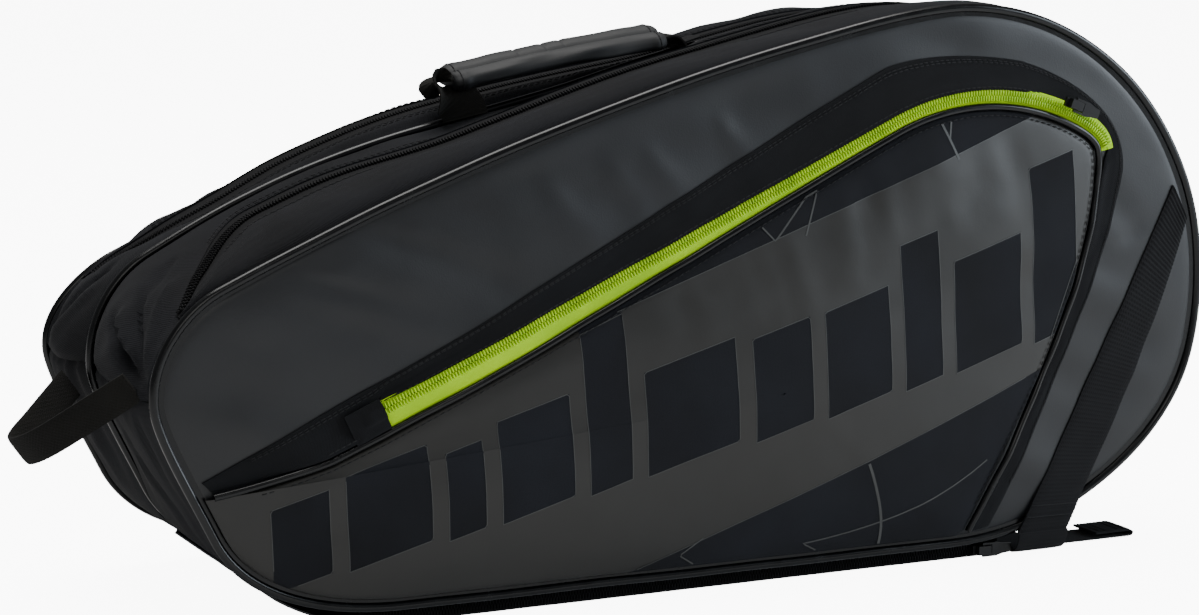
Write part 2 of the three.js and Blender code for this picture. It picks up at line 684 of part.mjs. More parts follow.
function handle() {
  const path = [HANDLE.left, [-110, 262], HANDLE.from, HANDLE.to, [37, 292], HANDLE.right];
  const run = stations(path.map(([x, z]) => new THREE.Vector2(x, z)), false);
  const half = WEB_WIDTH / 2;
  const strip = [[WEB / 2, -half], [WEB / 2, half], [-WEB / 2, half], [-WEB / 2, -half]];
  add('handle_webbing', sweep(run, () => strip), WEBBING);

  const [x0, z0] = HANDLE.from;
  const [x1, z1] = HANDLE.to;
  const length = Math.hypot(x1 - x0, z1 - z0) - 4;
  const sleeve = roundedRectangle(-17, 17, -4.4, 4.4, 4);
  const slot = roundedRectangle(-half - 0.8, half + 0.8, -1.4, 1.4, 0.6);
  sleeve.holes.push(new THREE.Path(slot.getPoints(1).reverse()));
  const wrap = new THREE.ExtrudeGeometry(sleeve, { depth: length, bevelEnabled: false, curveSegments: 3 });
  wrap.applyMatrix4(new THREE.Matrix4().makeBasis(Y_AXIS, Z_AXIS, X_AXIS));
  const mesh = add('handle_wrap', wrap, COATED);
  const slope = Math.atan2(z1 - z0, x1 - x0);
  mesh.position.set(x0 + 2 * Math.cos(slope), 0, z0 + 2 * Math.sin(slope));
  mesh.rotation.y = -slope;

  for (const [name, [x, z]] of [['left', HANDLE.left], ['right', HANDLE.right]]) {
    const foot = add(`handle_anchor_${name}`, block([-9, 9], [-7, 7], [-1.6, 0]), WEBBING);
    foot.position.set(x, 0, z - WEB / 2 - FOOT_DROP);
    foot.rotation.y = -16 * RAD;
  }
}

// Webbing from one side of the front compartment's nose, out to a rounded fold and back.
function endLoop() {
  const middle = (LOOP.y[0] + LOOP.y[1]) / 2;
  const path = new THREE.Path();
  path.moveTo(-2, LOOP.y[0]);
  path.lineTo(-LOOP.reach + 16, middle - 20);
  path.bezierCurveTo(-LOOP.reach, middle - 12, -LOOP.reach, middle + 12, -LOOP.reach + 14, middle + 20);
  path.lineTo(-2, LOOP.y[1]);
  const half = LOOP.width / 2;
  const strip = [[WEB / 2, -half], [WEB / 2, half], [-WEB / 2, half], [-WEB / 2, -half]];
  const geometry = sweep(stations(path.getPoints(5), false), () => strip);
  geometry.rotateX(-Math.PI / 2);
  geometry.rotateY(-LOOP.droop * RAD);
  geometry.translate(0, -middle, 0);
  geometry.rotateX(-LOOP.roll * RAD);
  const mesh = add('end_loop', geometry, WEBBING);
  mesh.position.set(LOOP.x, middle, LOOP.z);
}

// ---- Zip sliders --------------------------------------------------------------------------------

// Side view of a slider: a plate on the coil with an arch for the puller. Local X runs along the
// zip and local Z away from it.
function sliderGeometry() {
  const outline = [[-6, 0], [6, 0], [6, 1.8], [4, 1.8], [4, 5.2], [-4, 5.2], [-4, 1.8], [-6, 1.8]];
  const shape = new THREE.Shape(outline.map(([x, z]) => new THREE.Vector2(x, z)));
  const arch = [[-2.6, 2], [-2.6, 4], [2.6, 4], [2.6, 2]];
  shape.holes.push(new THREE.Path(arch.map(([x, z]) => new THREE.Vector2(x, z))));
  return plate(shape, -2.5, 2.5);
}

function pullerGeometry(length) {
  const shape = new THREE.Shape();
  const half = [[-0.7, -4], [8, -4], [12, -3], [length, -2.4]];
  const mirrored = half.map(([x, y]) => [x, -y]).reverse();
  shape.setFromPoints([...half, ...mirrored].map(([x, y]) => new THREE.Vector2(x, y)));
  const eye = [[0.7, -2.9], [0.7, 2.9], [5.4, 2.9], [5.4, -2.9]];
  shape.holes.push(new THREE.Path(eye.map(([x, y]) => new THREE.Vector2(x, y))));
  return upright(shape, -0.6, 0.6);
}

const PULLER_HEIGHT = 3; // of the puller's pin above the coil
const PULLER_LENGTH = { compartment: 19, pocket: 16, harness: 18 };

function slider(name, origin, along, away, pullerLength) {
  const across = away.clone().cross(along);
  const seat = new THREE.Matrix4().makeBasis(along, across, away);
  for (const [part, geometry, height] of [
    ['slider', sliderGeometry(), 0],
    ['puller', pullerGeometry(pullerLength), PULLER_HEIGHT],
  ]) {
    const mesh = add(`${name}_${part}`, geometry, HARDWARE);
    mesh.applyMatrix4(seat.clone().setPosition(origin.clone().addScaledVector(away, height)));
  }
}

const SLIDER_ANGLE = { compartment: -8, pocket: 68 }; // places on the wide end and the pocket's curve
const POCKET_SLIDER_SHIFT = 3.8; // onto the panel's half of the zip, clear of the flap's half

function sliders() {
  const angle = SLIDER_ANGLE.compartment * RAD;
  const out = new THREE.Vector3(Math.cos(angle), 0, Math.sin(angle));
  const down = new THREE.Vector3(Math.sin(angle), 0, -Math.cos(angle));
  for (const name of ['front', 'rear']) {
    const radius = WIDE.r + ZIP_WIDE[name] + COIL.height + GAP;
    const origin = new THREE.Vector3(WIDE.x, ZIP_Y[name], WIDE.z).addScaledVector(out, radius);
    slider(name, origin, down, out, PULLER_LENGTH.compartment);
  }

  const turn = SLIDER_ANGLE.pocket * RAD;
  const radial = new THREE.Vector3(Math.cos(turn), 0, Math.sin(turn));
  const along = new THREE.Vector3(Math.sin(turn), 0, -Math.cos(turn));
  const crest = panelFace(new THREE.Vector2(110, 250)) - ZIP_HEIGHT.crest - GAP;
  const middle = new THREE.Vector3(POCKET_ZIP.x, crest, POCKET_ZIP.z);
  const seat = middle.addScaledVector(radial, POCKET_ZIP.r + POCKET_SLIDER_SHIFT);
  slider('pocket', seat, along, FRONT, PULLER_LENGTH.pocket);

  const face = HARNESS.y[0] - GAP - TAPE - COIL.height - 0.3;
  slider('harness', new THREE.Vector3(172, face, 5.2), X_AXIS, FRONT, PULLER_LENGTH.harness);
}

// ---- Assembly -----------------------------------------------------------------------------------

compartmentSides('front', -1, FRONT_DEPTH, () => 0);
compartmentSides('rear', 1, REAR_DEPTH, rearOffset);
panelStack('front', -1, FRONT_DEPTH, FRONT_CROWN, () => 0);
panelStack('rear', 1, REAR_DEPTH, REAR_CROWN, rearOffset);
carcass();
harness();
webbing();
strapTail();
pocket();
handle();
endLoop();
sliders();

export default group;
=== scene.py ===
import math

import bmesh
import bpy
import numpy as np
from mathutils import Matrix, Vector, noise


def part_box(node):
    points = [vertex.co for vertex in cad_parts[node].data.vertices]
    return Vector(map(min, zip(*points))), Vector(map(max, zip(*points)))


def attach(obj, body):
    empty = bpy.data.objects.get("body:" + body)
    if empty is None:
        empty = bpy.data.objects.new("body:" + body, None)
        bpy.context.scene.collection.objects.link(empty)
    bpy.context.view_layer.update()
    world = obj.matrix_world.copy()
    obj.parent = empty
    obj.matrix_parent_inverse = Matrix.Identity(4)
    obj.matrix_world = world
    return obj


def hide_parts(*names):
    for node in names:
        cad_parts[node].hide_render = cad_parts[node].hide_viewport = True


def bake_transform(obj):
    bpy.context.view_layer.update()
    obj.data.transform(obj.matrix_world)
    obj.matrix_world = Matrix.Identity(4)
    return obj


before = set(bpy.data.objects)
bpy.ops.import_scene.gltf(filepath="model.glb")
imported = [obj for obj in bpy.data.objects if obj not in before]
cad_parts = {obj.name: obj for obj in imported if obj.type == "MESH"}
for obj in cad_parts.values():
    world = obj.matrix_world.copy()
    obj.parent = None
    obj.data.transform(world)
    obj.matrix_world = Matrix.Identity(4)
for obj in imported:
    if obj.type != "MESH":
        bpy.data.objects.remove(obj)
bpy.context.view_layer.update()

# ---- The bag's shape, in millimetres: the same outline and offsets as the CAD --------------------

FRONT_DEPTH, REAR_DEPTH, BASE_Z = 125.0, 72.0, 12.0
WIDE = (150.0, 150.0, 160.0, -15.0)  # centre x, z, radius and seam angle of the wide end
NOSE = (-309.5, 126.0)
PANEL_CENTRE = np.array([40.0, 150.0])
POCKET_CENTRE = np.array([30.0, 110.0])
FRONT_CROWN, REAR_CROWN, POCKET_CROWN = 10.0, 8.0, 8.0
ZIP_Y = {"front": -42.0, "rear": 30.0}
TAPE_HALF = 14.5
ZIP_TURN_Z = (168.0, 204.0)  # heights between which the zips turn at the narrow end
ZIP_END_GAP, ZIP_END_TAPE = 11.0, 4.0  # from the piping to the zip's last stretch, and its tape there
POCKET_RIGHT = ((157, 19), (180, 66), (231, 148), (236, 214))  # the pocket's open right edge
POCKET_LEFT = ((-222, 92), (-250, 84), (-281, 79))  # its short left edge, below the zip
REARWARD = np.array([0, 1.0, 0])
POCKET_ARC = (160.5, 120.5, 142.0, 64.0, 114.7)
STEP = 3.6  # spacing of the stations round the outline
WELD = 2e-6  # m, below which two corners are one
COIL_PITCH, SMALL_COIL_PITCH = 1.75, 1.7
LEAST_SHARE = 0.3001  # of its flat rectangle, the least that a sheet may fill
WAVE_SCALE = 0.6284  # a wave texture's scale for two bands, or one diagonal band, per unit of length


def smooth(low, high, value):
    t = np.clip((np.asarray(value, float) - low) / (high - low), 0, 1)
    return t * t * (3 - 2 * t)


def lerp(a, b, t):
    return a + (b - a) * t


def bell(value, centre, width):
    return np.exp(-(((value - centre) / width) ** 2))


def bezier(points, count=80):
    p = [np.array(q, float) for q in points]
    t = np.linspace(0, 1, count)[:, None]
    if len(p) == 3:
        return (1 - t) ** 2 * p[0] + 2 * t * (1 - t) * p[1] + t * t * p[2]
    return (1 - t) ** 3 * p[0] + 3 * t * (1 - t) ** 2 * p[1] + 3 * t * t * (1 - t) * p[2] + t**3 * p[3]


def arc(x, z, r, start, end, count=120):
    a = np.radians(np.linspace(start, end, count))
    return np.stack([x + r * np.cos(a), z + r * np.sin(a)], 1)


def joined(*runs):
    points = np.concatenate([np.asarray(r, float) for r in runs])
    keep = np.append(True, np.linalg.norm(np.diff(points, axis=0), axis=1) > 1e-6)
    return points[keep]


def lengths(points):
    return np.append(0, np.cumsum(np.linalg.norm(np.diff(points, axis=0), axis=1)))


def sampled(at, s, rows):
    """Rows of values known at distances s, read at other distances."""
    return np.stack([np.interp(at, s, column) for column in rows.T], 1)


def spaced(points, step):
    points = np.asarray(points, float)
    s = lengths(points)
    return sampled(np.linspace(0, s[-1], max(int(round(s[-1] / step)), 2) + 1), s, points)


def unit(v):
    return v / np.linalg.norm(v, axis=-1, keepdims=True)


def square_to(tangent):
    """The directions to the right of a line in x and z."""
    tangent = unit(tangent)
    return np.stack([tangent[:, 1], -tangent[:, 0]], 1)


def with_y(p, y):
    """3-D points from points in x and z and their y."""
    return np.stack([p[..., 0], np.broadcast_to(y, p.shape[:-1]), p[..., 1]], -1)


class Run:
    """A line in x and z with its outward direction and the distance along it."""

    def __init__(self, points, normals=None):
        self.p = np.asarray(points, float)
        self.n = square_to(np.gradient(self.p, axis=0)) if normals is None else normals
        self.s = lengths(self.p)

    def at(self, distances):
        made = Run(*(sampled(distances, self.s, rows) for rows in (self.p, self.n)))
        made.s = np.asarray(distances, float)
        return made


def outline():
    x, z, r, start = WIDE
    low = arc(x, z, r, start, start, 1)[0]
    upper = joined(
        arc(x, z, r, start, 90),
        bezier([(x, z + r), (105, 310), (-94, 267), (-275, 181)], 160),
        bezier([(-275, 181), (-291, 173), (-311, 152), NOSE]),
    )
    lower = joined(
        bezier([NOSE, (-309, 112), (-292, 82), (-279, 55)]),
        bezier([(-279, 55), (-266, 30), (-235, BASE_Z + 1), (-180, BASE_Z)]),
        bezier([(150, BASE_Z), (225, BASE_Z), (291.5, 60.3), low]),
    )
    return spaced(upper, STEP), spaced(lower, STEP)


UPPER_POINTS, LOWER_POINTS = outline()
RING_POINTS = np.concatenate([UPPER_POINTS[:-1], LOWER_POINTS[:-1]])


RING_NORMALS = square_to(np.roll(RING_POINTS, -3, 0) - np.roll(RING_POINTS, 3, 0))
LAST = len(UPPER_POINTS) - 1
UPPER = Run(UPPER_POINTS, RING_NORMALS[: LAST + 1])
LOWER = Run(LOWER_POINTS, np.concatenate([RING_NORMALS[LAST:], RING_NORMALS[:1]]))
RING = Run(RING_POINTS, RING_NORMALS)


def mid_offset(p):
    top = smooth(130, 215, p[..., 1])
    wide = smooth(-200, -20, p[..., 0])
    return lerp(-4.0, 4.5 - 13.5 * wide, top)


def rear_offset(p):
    """The rear compartment is smaller than the front one, most of all over the wide half."""
    narrow, wide = 8 * smooth(125, 185, p[..., 1]), 17 * smooth(20, 105, p[..., 1])
    return -lerp(narrow, wide, smooth(-120, 60, p[..., 0]))


def no_offset(p):
    return 0 * p[..., 0]


def zip_turn(p):
    """1 where the zips have turned towards the pipings at the narrow end."""
    return np.where(p[..., 0] < 0, 1 - smooth(*ZIP_TURN_Z, p[..., 1]), 0.0)


def zip_offset(name, p):
    """How far outside the outline a zip's tape lies: raised at the narrow end, sunk at the wide one."""
    x = p[..., 0]
    if name == "front":
        return lerp(lerp(5.5, -3.0, smooth(-205, -110, x)), 1.0, zip_turn(p))
    narrow = lerp(3.0, 6.5, smooth(-235, -185, x))
    return lerp(lerp(narrow, -11.0, smooth(-150, 40, x)), rear_offset(p) + 1, zip_turn(p))


def gusset_swell(name, p):
    return lerp(8.0, 3.5, smooth(-60, 90, p[..., 0])) if name == "front" else 4.2 + 0 * p[..., 0]


def star(points, centre, edge):
    """0 at the centre and 1 on the edge, for a shape that its centre sees whole."""
    away = edge - centre
    angle = np.arctan2(away[:, 1], away[:, 0])
    order = np.argsort(angle)
    ray = np.asarray(points, float) - centre
    limit = np.interp(
        np.arctan2(ray[..., 1], ray[..., 0]),
        angle[order],
        np.linalg.norm(away, axis=1)[order],
        period=2 * math.pi,
    )
    return np.clip(np.linalg.norm(ray, axis=-1) / limit, 0, 1)


def ripple(a, b, seed):
    """Smooth noise between about -1 and 1 at points that are already scaled."""
    a, b = np.broadcast_arrays(np.asarray(a, float), np.asarray(b, float))
    flat = [noise.noise(Vector((x, z, seed))) for x, z in zip(a.ravel(), b.ravel())]
    return np.array(flat).reshape(a.shape) * 1.6


def valley(along, y, start, end, width, depth):
    """A crease pressed into cloth along a line from start to end, each (distance, y)."""
    a, b = np.array(start, float), np.array(end, float)
    d = b - a
    t = ((along - a[0]) * d[0] + (y - a[1]) * d[1]) / (d @ d)
    off = ((along - a[0]) * -d[1] + (y - a[1]) * d[0]) / np.linalg.norm(d)
    reach = smooth(-0.25, 0.15, t) * smooth(1.2, 0.8, t)
    wide = width * (0.6 + 0.6 * np.clip(t, 0, 1))
    return -depth * bell(off, 0, wide) * reach


# ---- Mesh building -------------------------------------------------------------------------------


def inside_out(points, faces):
    """Whether the four-cornered faces of a closed mesh look inwards."""
    a, b, c, d = (points[faces[:, k]] for k in range(4))
    return (a * np.cross(b, c)).sum() + (a * np.cross(c, d)).sum() < 0


class Body:
    """Collects closed sweeps and copied details, with weave coordinates in mm for each corner."""

    def __init__(self):
        self.points, self.faces, self.uv, self.weights, self.slots = [], [], [], [], []
        self.count = 0

    def _add(self, points, weight):
        points = points.reshape(-1, 3)
        self.points.append(points)
        self.weights.append(np.broadcast_to(weight, len(points)))
        first = self.count
        self.count += len(points)
        return first

    def sweep(self, sections, u, v, weight=1.0, loop=False):
        """Sections are rows of closed outlines, rows x columns x 3. u runs along and v round."""
        rows, cols = sections.shape[:2]
        u, v = np.asarray(u, float), np.append(v, v[0])
        if loop:
            u = np.append(u, u[-1] + (u[-1] - u[-2]))
        weight = weight[:, None] if np.ndim(weight) == 1 else weight
        first = self._add(sections, np.broadcast_to(weight, (rows, cols)).reshape(-1))
        i = np.arange(rows if loop else rows - 1)[:, None]
        j = np.arange(cols)[None, :]
        i2, j2 = (i + 1) % rows, (j + 1) % cols
        faces = np.stack([i * cols + j, i2 * cols + j, i2 * cols + j2, i * cols + j2], -1).reshape(-1, 4)
        iu = np.broadcast_to(np.stack([u[i], u[i + 1], u[i + 1], u[i]], -1), (len(i), cols, 4))
        jv = np.broadcast_to(np.stack([v[j], v[j], v[j + 1], v[j + 1]], -1), (len(i), cols, 4))
        uv = np.stack([iu, jv], -1).reshape(-1, 4, 2)
        if not loop:
            half = cols // 2
            k = np.arange(half - 1)
            cap = np.stack([k, k + 1, cols - 2 - k, cols - 1 - k], -1)
            faces = np.concatenate([faces, cap, cap[:, ::-1] + (rows - 1) * cols])
            cap_uv = np.stack([np.full(cap.shape, u[0]), v[cap]], -1)
            uv = np.concatenate([uv, cap_uv, cap_uv[:, ::-1]])
        if inside_out(sections.reshape(-1, 3), faces):
            faces, uv = faces[:, ::-1], uv[:, ::-1]
        self._finish(faces + first, uv, 0)

    def _finish(self, faces, uv, slot):
        self.faces.append(faces)
        self.uv.append(uv)
        self.slots.append(np.full(len(faces), slot))

    def copies(self, points, faces, origins, axes, weight=1.0, slot=0):
        """Copies of a small closed mesh; axes is copies x 3 x 3, its local x, y and z directions."""
        placed = origins[:, None, :] + np.einsum("vk,nkc->nvc", points, axes)
        many, each = len(origins), len(points)
        first = self._add(placed, np.repeat(np.broadcast_to(weight, (many,)), each))
        mirrored = np.linalg.det(axes[0]) < 0
        order = faces[:, ::-1] if inside_out(points, faces) != mirrored else faces
        all_faces = (order[None] + (np.arange(many) * each)[:, None, None]).reshape(-1, 4)
        self._finish(all_faces + first, placed.reshape(-1, 3)[all_faces][:, :, ::2], slot)

    def make(self, name, materials, body=None, slot=None, replaces=(), blend=None):
        points = np.concatenate(self.points) * 0.001
        faces = np.concatenate(self.faces)
        mesh = bpy.data.meshes.new(name)
        mesh.from_pydata(points.tolist(), [], faces.tolist())
        layer = mesh.uv_layers.new(name="weave")
        layer.data.foreach_set("uv", (np.concatenate(self.uv) * 0.001).reshape(-1).astype(np.float32))
        store = mesh.attributes.new("follow", "FLOAT", "POINT")
        store.data.foreach_set("value", np.concatenate(self.weights).astype(np.float32))
        for material in materials if isinstance(materials, (list, tuple)) else [materials]:
            mesh.materials.append(material)
        mesh.polygons.foreach_set("material_index", np.concatenate(self.slots).astype(np.int32))
        mesh.polygons.foreach_set("use_smooth", np.ones(len(mesh.polygons), bool))
        obj = added(name, mesh)
        reworked(mesh, lambda work: bmesh.ops.remove_doubles(work, verts=work.verts, dist=WELD))
        mesh.validate()
        mesh.update()
        mesh.set_sharp_from_angle(angle=math.radians(50))
        if blend:
            follow(obj, *blend)
        elif body:
            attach(obj, body)
        if replaces:
            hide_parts(*replaces)
        return obj


def added(name, data):
    obj = bpy.data.objects.new(name, data)
    bpy.context.scene.collection.objects.link(obj)
    return obj


def reworked(mesh, change):
    """Lets change edit a mesh as a bmesh."""
    work = bmesh.new()
    work.from_mesh(mesh)
    change(work)
    work.to_mesh(mesh)
    work.free()


def follow(obj, near, far):
    """Takes a cloth whose stored weight is 0 where it would stay with near and 1 with far; near and far are
    not used.
    The weights run both along and across the cloth; only the cloth's transform is baked into its mesh."""
    weights = np.zeros(len(obj.data.vertices), np.float32)
    obj.data.attributes["follow"].data.foreach_get("value", weights)
    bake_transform(obj)


def place(run, offset, y):
    """Points at offsets from a run, rows x columns x 3. Offset and y may be numbers per column."""
    offset = np.broadcast_to(offset, (len(run.p), np.shape(offset)[-1]))
    return with_y(run.p[:, None, :] + run.n[:, None, :] * offset[..., None], y)


def shell(outer, inner):
    """A closed section from an outer and an inner row of points."""
    return np.concatenate([outer, inner[:, ::-1]], 1)


def thick_sheet(body, grid, depth_axis, thickness, u, v=None, weight=1.0):
    """A closed sheet: grid is its outer face and depth_axis, per point, leads to its inner face."""
    inner = grid + depth_axis * thickness
    v = lengths(grid[len(grid) // 2]) if v is None else v
    both = np.concatenate([v, v[::-1]])
    if np.ndim(weight) == 2:
        weight = shell(weight, weight)
    body.sweep(shell(grid, inner), u, both, weight)


def circle(sides):
    a = np.arange(sides) * 2 * math.pi / sides
    return np.cos(a), np.sin(a)


def tube_on(run, offset, y, radius, sides):
    """Rows for a round cord along a run; its offset and y are given along it."""
    c, s = circle(sides)
    return place(run, offset[:, None] + radius * c, y[:, None] + radius * s)


def grain(length, radius, height):
    """A small closed capsule with six sides along local x."""
    sides = 6
    c, s = circle(sides)
    rows = []
    for x, r in ((-0.5, 0.35), (-0.36, 0.95), (0.36, 0.95), (0.5, 0.35)):
        rows.append(np.stack([np.full(sides, x * length), r * radius * c, r * height * s], 1))
    points = np.concatenate(rows)
    faces = []
    for i in range(3):
        for j in range(sides):
            k = (j + 1) % sides
            faces.append([i * sides + j, (i + 1) * sides + j, (i + 1) * sides + k, i * sides + k])
    for base in (0, 3 * sides):
        faces.append([base, base + 1, base + 2, base + 3])
        faces.append([base + 3, base + 4, base + 5, base])
    return points, np.array(faces)


def closed_block(points, faces):
    """Turns every face of a small mesh outwards, judged from its middle."""
    middle = points.mean(0)
    out = []
    for f in faces:
        a, b, c = points[f[0]], points[f[1]], points[f[2]]
        n = np.cross(b - a, c - a)
        out.append(f if n @ (a - middle) > 0 else f[::-1])
    return points, np.array(out)


STITCH = closed_block(*grain(2.7, 0.34, 0.34))
TOOTH = closed_block(*grain(3.3, 0.62, 0.95))


def frames(ahead, up):
    """Axes for copies: x leads ahead and z is as near to up as it can be."""
    ahead = unit(ahead)
    side = unit(np.cross(up, ahead))
    return np.stack([ahead, side, np.cross(ahead, side)], 1)


def sew(body, line, up, pitch=3.9, weight=None):
    """Adds a row of stitches along a 3-D line; a weight has one value per point of the line."""
    s = lengths(line)
    at = np.arange(pitch / 2, s[-1] - pitch / 2, pitch)
    w = 1.0 if weight is None else np.interp(at, s, weight)
    wanted = (line, np.gradient(line, axis=0), np.broadcast_to(up, line.shape))
    origins, ahead, upward = (sampled(at, s, rows) for rows in wanted)
    body.copies(*STITCH, origins, frames(ahead, upward), w)


# ---- Materials -----------------------------------------------------------------------------------


class Nodes:
    """A short way to write node trees."""

    def __init__(self, name):
        self.material = bpy.data.materials.new(name)
        self.material.use_nodes = True
        self.tree = self.material.node_tree
        self.shader = self.tree.nodes["Principled BSDF"]

    def add(self, kind, inputs=None, **settings):
        node = self.tree.nodes.new("ShaderNode" + kind)
        for key, value in settings.items():
            setattr(node, key, value)
        for key, value in (inputs or {}).items():
            self.set(node.inputs[key], value)
        return node

    def set(self, socket, value):
        if isinstance(value, bpy.types.NodeSocket):
            self.tree.links.new(value, socket)
        elif isinstance(value, bpy.types.Node):
            self.tree.links.new(value.outputs[0], socket)
        else:
            socket.default_value = value

    def math(self, operation, a, b=0.5, clamp=False):
        return self.add("Math", {0: a, 1: b}, operation=operation, use_clamp=clamp).outputs[0]

    def space(self, kind):
        if kind == "weave":
            return self.add("UVMap", uv_map="weave").outputs[0]
        return self.add("TexCoord").outputs["Object"]

    def scaled(self, vector, factor):
        return self.add("VectorMath", {0: vector, 1: (factor,) * 3}, operation="MULTIPLY").outputs[0]

    def noise(self, vector, size_mm, detail=2.0, rough=0.5):
        scale = 1000.0 / size_mm
        node = self.add("TexNoise", {"Vector": vector, "Scale": scale, "Detail": detail, "Roughness": rough})
        return node.outputs["Fac"]

    def band(self, vector, period_mm, direction, distortion=0.0):
        """Ribs: a diagonal one, or two straight ones, in every period."""
        millimetres = self.scaled(vector, 1000.0)
        wave = self.add(
            "TexWave",
            {"Vector": millimetres, "Scale": WAVE_SCALE / period_mm, "Distortion": distortion},
            wave_type="BANDS",
            bands_direction=direction,
            wave_profile="SIN",
        )
        return wave.outputs["Fac"]

    def ramp(self, value, low, high, to_low, to_high):
        return self.add(
            "MapRange",
            {"Value": value, "From Min": low, "From Max": high, "To Min": to_low, "To Max": to_high},
        ).outputs[0]

    def mix(self, factor, a, b):
        node = self.add("Mix", data_type="RGBA")
        self.set(node.inputs["Factor"], factor)
        self.set(node.inputs[6], a)
        self.set(node.inputs[7], b)
        return node.outputs[2]

    def bump(self, height, distance_mm, strength=1.0, before=None):
        node = self.add("Bump", {"Height": height, "Distance": distance_mm * 0.001, "Strength": strength})
        if before is not None:
            self.set(node.inputs["Normal"], before)
        return node.outputs[0]

    def finish(self, colour, roughness, normal, **uniform):
        self.set(self.shader.inputs["Base Color"], colour)
        self.set(self.shader.inputs["Roughness"], roughness)
        if normal is not None:
            self.set(self.shader.inputs["Normal"], normal)
        for key, value in uniform.items():
            self.shader.inputs[key.replace("_", " ")].default_value = value
        return self.material


def rgb(value):
    parts = [((value >> shift) & 255) / 255 for shift in (16, 8, 0)]
    return tuple(p / 12.92 if p <= 0.04045 else ((p + 0.055) / 1.055) ** 2.4 for p in parts) + (1.0,)


def woven(name, dark, light, period, rough, diagonal=True, depth=0.12, sheen=0.02, space="weave", patch=70):
    """Cloth: fine yarns with a diagonal rib, or a plain weave, and slow changes of tone."""
    n = Nodes(name)
    where = n.space(space)
    patches = n.noise(n.space("object"), patch, 3)
    fuzz = n.noise(where, 0.7, 2, 0.6)
    if diagonal:
        rib = n.band(where, period, "DIAGONAL", 0.25)
        cross = n.band(where, period * 0.55, "X")
    else:
        rib = n.band(where, period, "X", 0.15)
        cross = n.band(where, period, "Y", 0.15)
    weave = n.math("MULTIPLY", rib, n.ramp(cross, 0, 1, 0.45, 1.0))
    height = n.math("ADD", weave, n.math("MULTIPLY", fuzz, 0.5))
    tone = n.math("ADD", n.math("MULTIPLY", weave, 0.45), n.ramp(patches, 0.3, 0.7, 0.0, 0.5), True)
    colour = n.mix(n.math("MULTIPLY", tone, n.ramp(fuzz, 0.3, 0.7, 0.7, 1.1)), dark, light)
    return n.finish(
        colour,
        n.ramp(patches, 0.3, 0.7, rough - 0.06, rough + 0.05),
        n.bump(height, depth, 0.9),
        Sheen_Weight=sheen,
        Sheen_Roughness=0.45,
        Specular_IOR_Level=0.12,
    )


def coated(name, dark, light, rough, grain=0.9, depth=0.035, patch=110, weave_depth=0.0):
    """Coated cloth: a fine pebble grain, faint scuffs and slow changes of tone and gloss."""
    n = Nodes(name)
    here = n.space("object")
    patches = n.noise(here, patch, 4, 0.55)
    pebble = n.add("TexVoronoi", {"Vector": here, "Scale": 1000 / grain}, feature="F1").outputs["Distance"]
    fine = n.noise(here, 0.5, 2)
    scuff = n.ramp(n.noise(here, 9, 6, 0.7), 0.62, 0.78, 0.0, 1.0)
    height = n.math("ADD", pebble, n.math("MULTIPLY", fine, 0.4))
    tone = n.math("ADD", n.ramp(patches, 0.3, 0.72, 0.0, 0.85), n.math("MULTIPLY", scuff, 0.12), True)
    colour = n.mix(tone, dark, light)
    smear = n.ramp(patches, 0.3, 0.7, rough - 0.04, rough + 0.05)
    gloss = n.math("ADD", smear, n.math("MULTIPLY", scuff, 0.05))
    normal = n.bump(height, depth, 0.8)
    if weave_depth:
        weave = n.math("MULTIPLY", n.band(here, 1.1, "X"), n.band(here, 1.1, "Z"))
        normal = n.bump(weave, weave_depth, 0.7, normal)
    return n.finish(colour, gloss, normal, Specular_IOR_Level=0.42)


def glossy(name, colour_dark, colour_light, rough, coat=0.4, specular=0.3):
    """Smooth extruded plastic with faint haze."""
    n = Nodes(name)
    here = n.space("object")
    haze = n.noise(here, 14, 4, 0.6)
    fine = n.noise(here, 2.2, 3)
    colour = n.mix(n.ramp(haze, 0.3, 0.7, 0, 1), colour_dark, colour_light)
    return n.finish(
        colour,
        n.ramp(haze, 0.3, 0.7, rough - 0.05, rough + 0.08),
        n.bump(fine, 0.02, 0.5),
        Coat_Weight=coat,
        Coat_Roughness=0.12,
        Specular_IOR_Level=specular,
    )


def enamel(name, dark, edge, rough):
    """Painted metal or moulded plastic with paler wear on its raised grain."""
    n = Nodes(name)
    here = n.space("object")
    wear = n.ramp(n.noise(here, 1.6, 5, 0.7), 0.62, 0.75, 0, 1)
    speck = n.noise(here, 0.35, 2)
    colour = n.mix(n.math("MULTIPLY", wear, 0.5), dark, edge)
    return n.finish(colour, n.ramp(wear, 0, 1, rough, rough + 0.15), n.bump(speck, 0.015, 0.6), Metallic=0.3)


TWILL = woven("twill", rgb(0x0A0A0C), rgb(0x242529), 1.05, 0.88, depth=0.2)
TWILL_FINE = woven("twill_fine", rgb(0x0A0A0B), rgb(0x1C1D20), 0.9, 0.85, depth=0.14)
POCKET_WEAVE = woven("pocket_weave", rgb(0x0B0B0D), rgb(0x22242A), 0.9, 0.8, False, 0.14)
TAPE_BLACK = woven("zip_tape_black", rgb(0x080809), rgb(0x19191B), 0.8, 0.82, False, 0.08)
TAPE_LIME = woven("zip_tape_lime", rgb(0x8EBE00), rgb(0xC2EE00), 0.8, 0.72, False, 0.09, 0.0, patch=30)
WEBBING = woven("webbing", rgb(0x09090A), rgb(0x1F1F21), 1.3, 0.8, True, 0.16)
LOOP_WEAVE = woven("loop_webbing", rgb(0x0A0A0A), rgb(0x2C2B28), 1.15, 0.85, False, 0.3)
LINING = woven("lining", rgb(0x17181A), rgb(0x2C2D30), 0.8, 0.75, False, 0.06, patch=50)
THREAD = woven("thread", rgb(0x0F0F10), rgb(0x2E2E30), 0.6, 0.6, True, 0.05, space="object")
COATED = coated("coated", rgb(0x08090B), rgb(0x121418), 0.44)
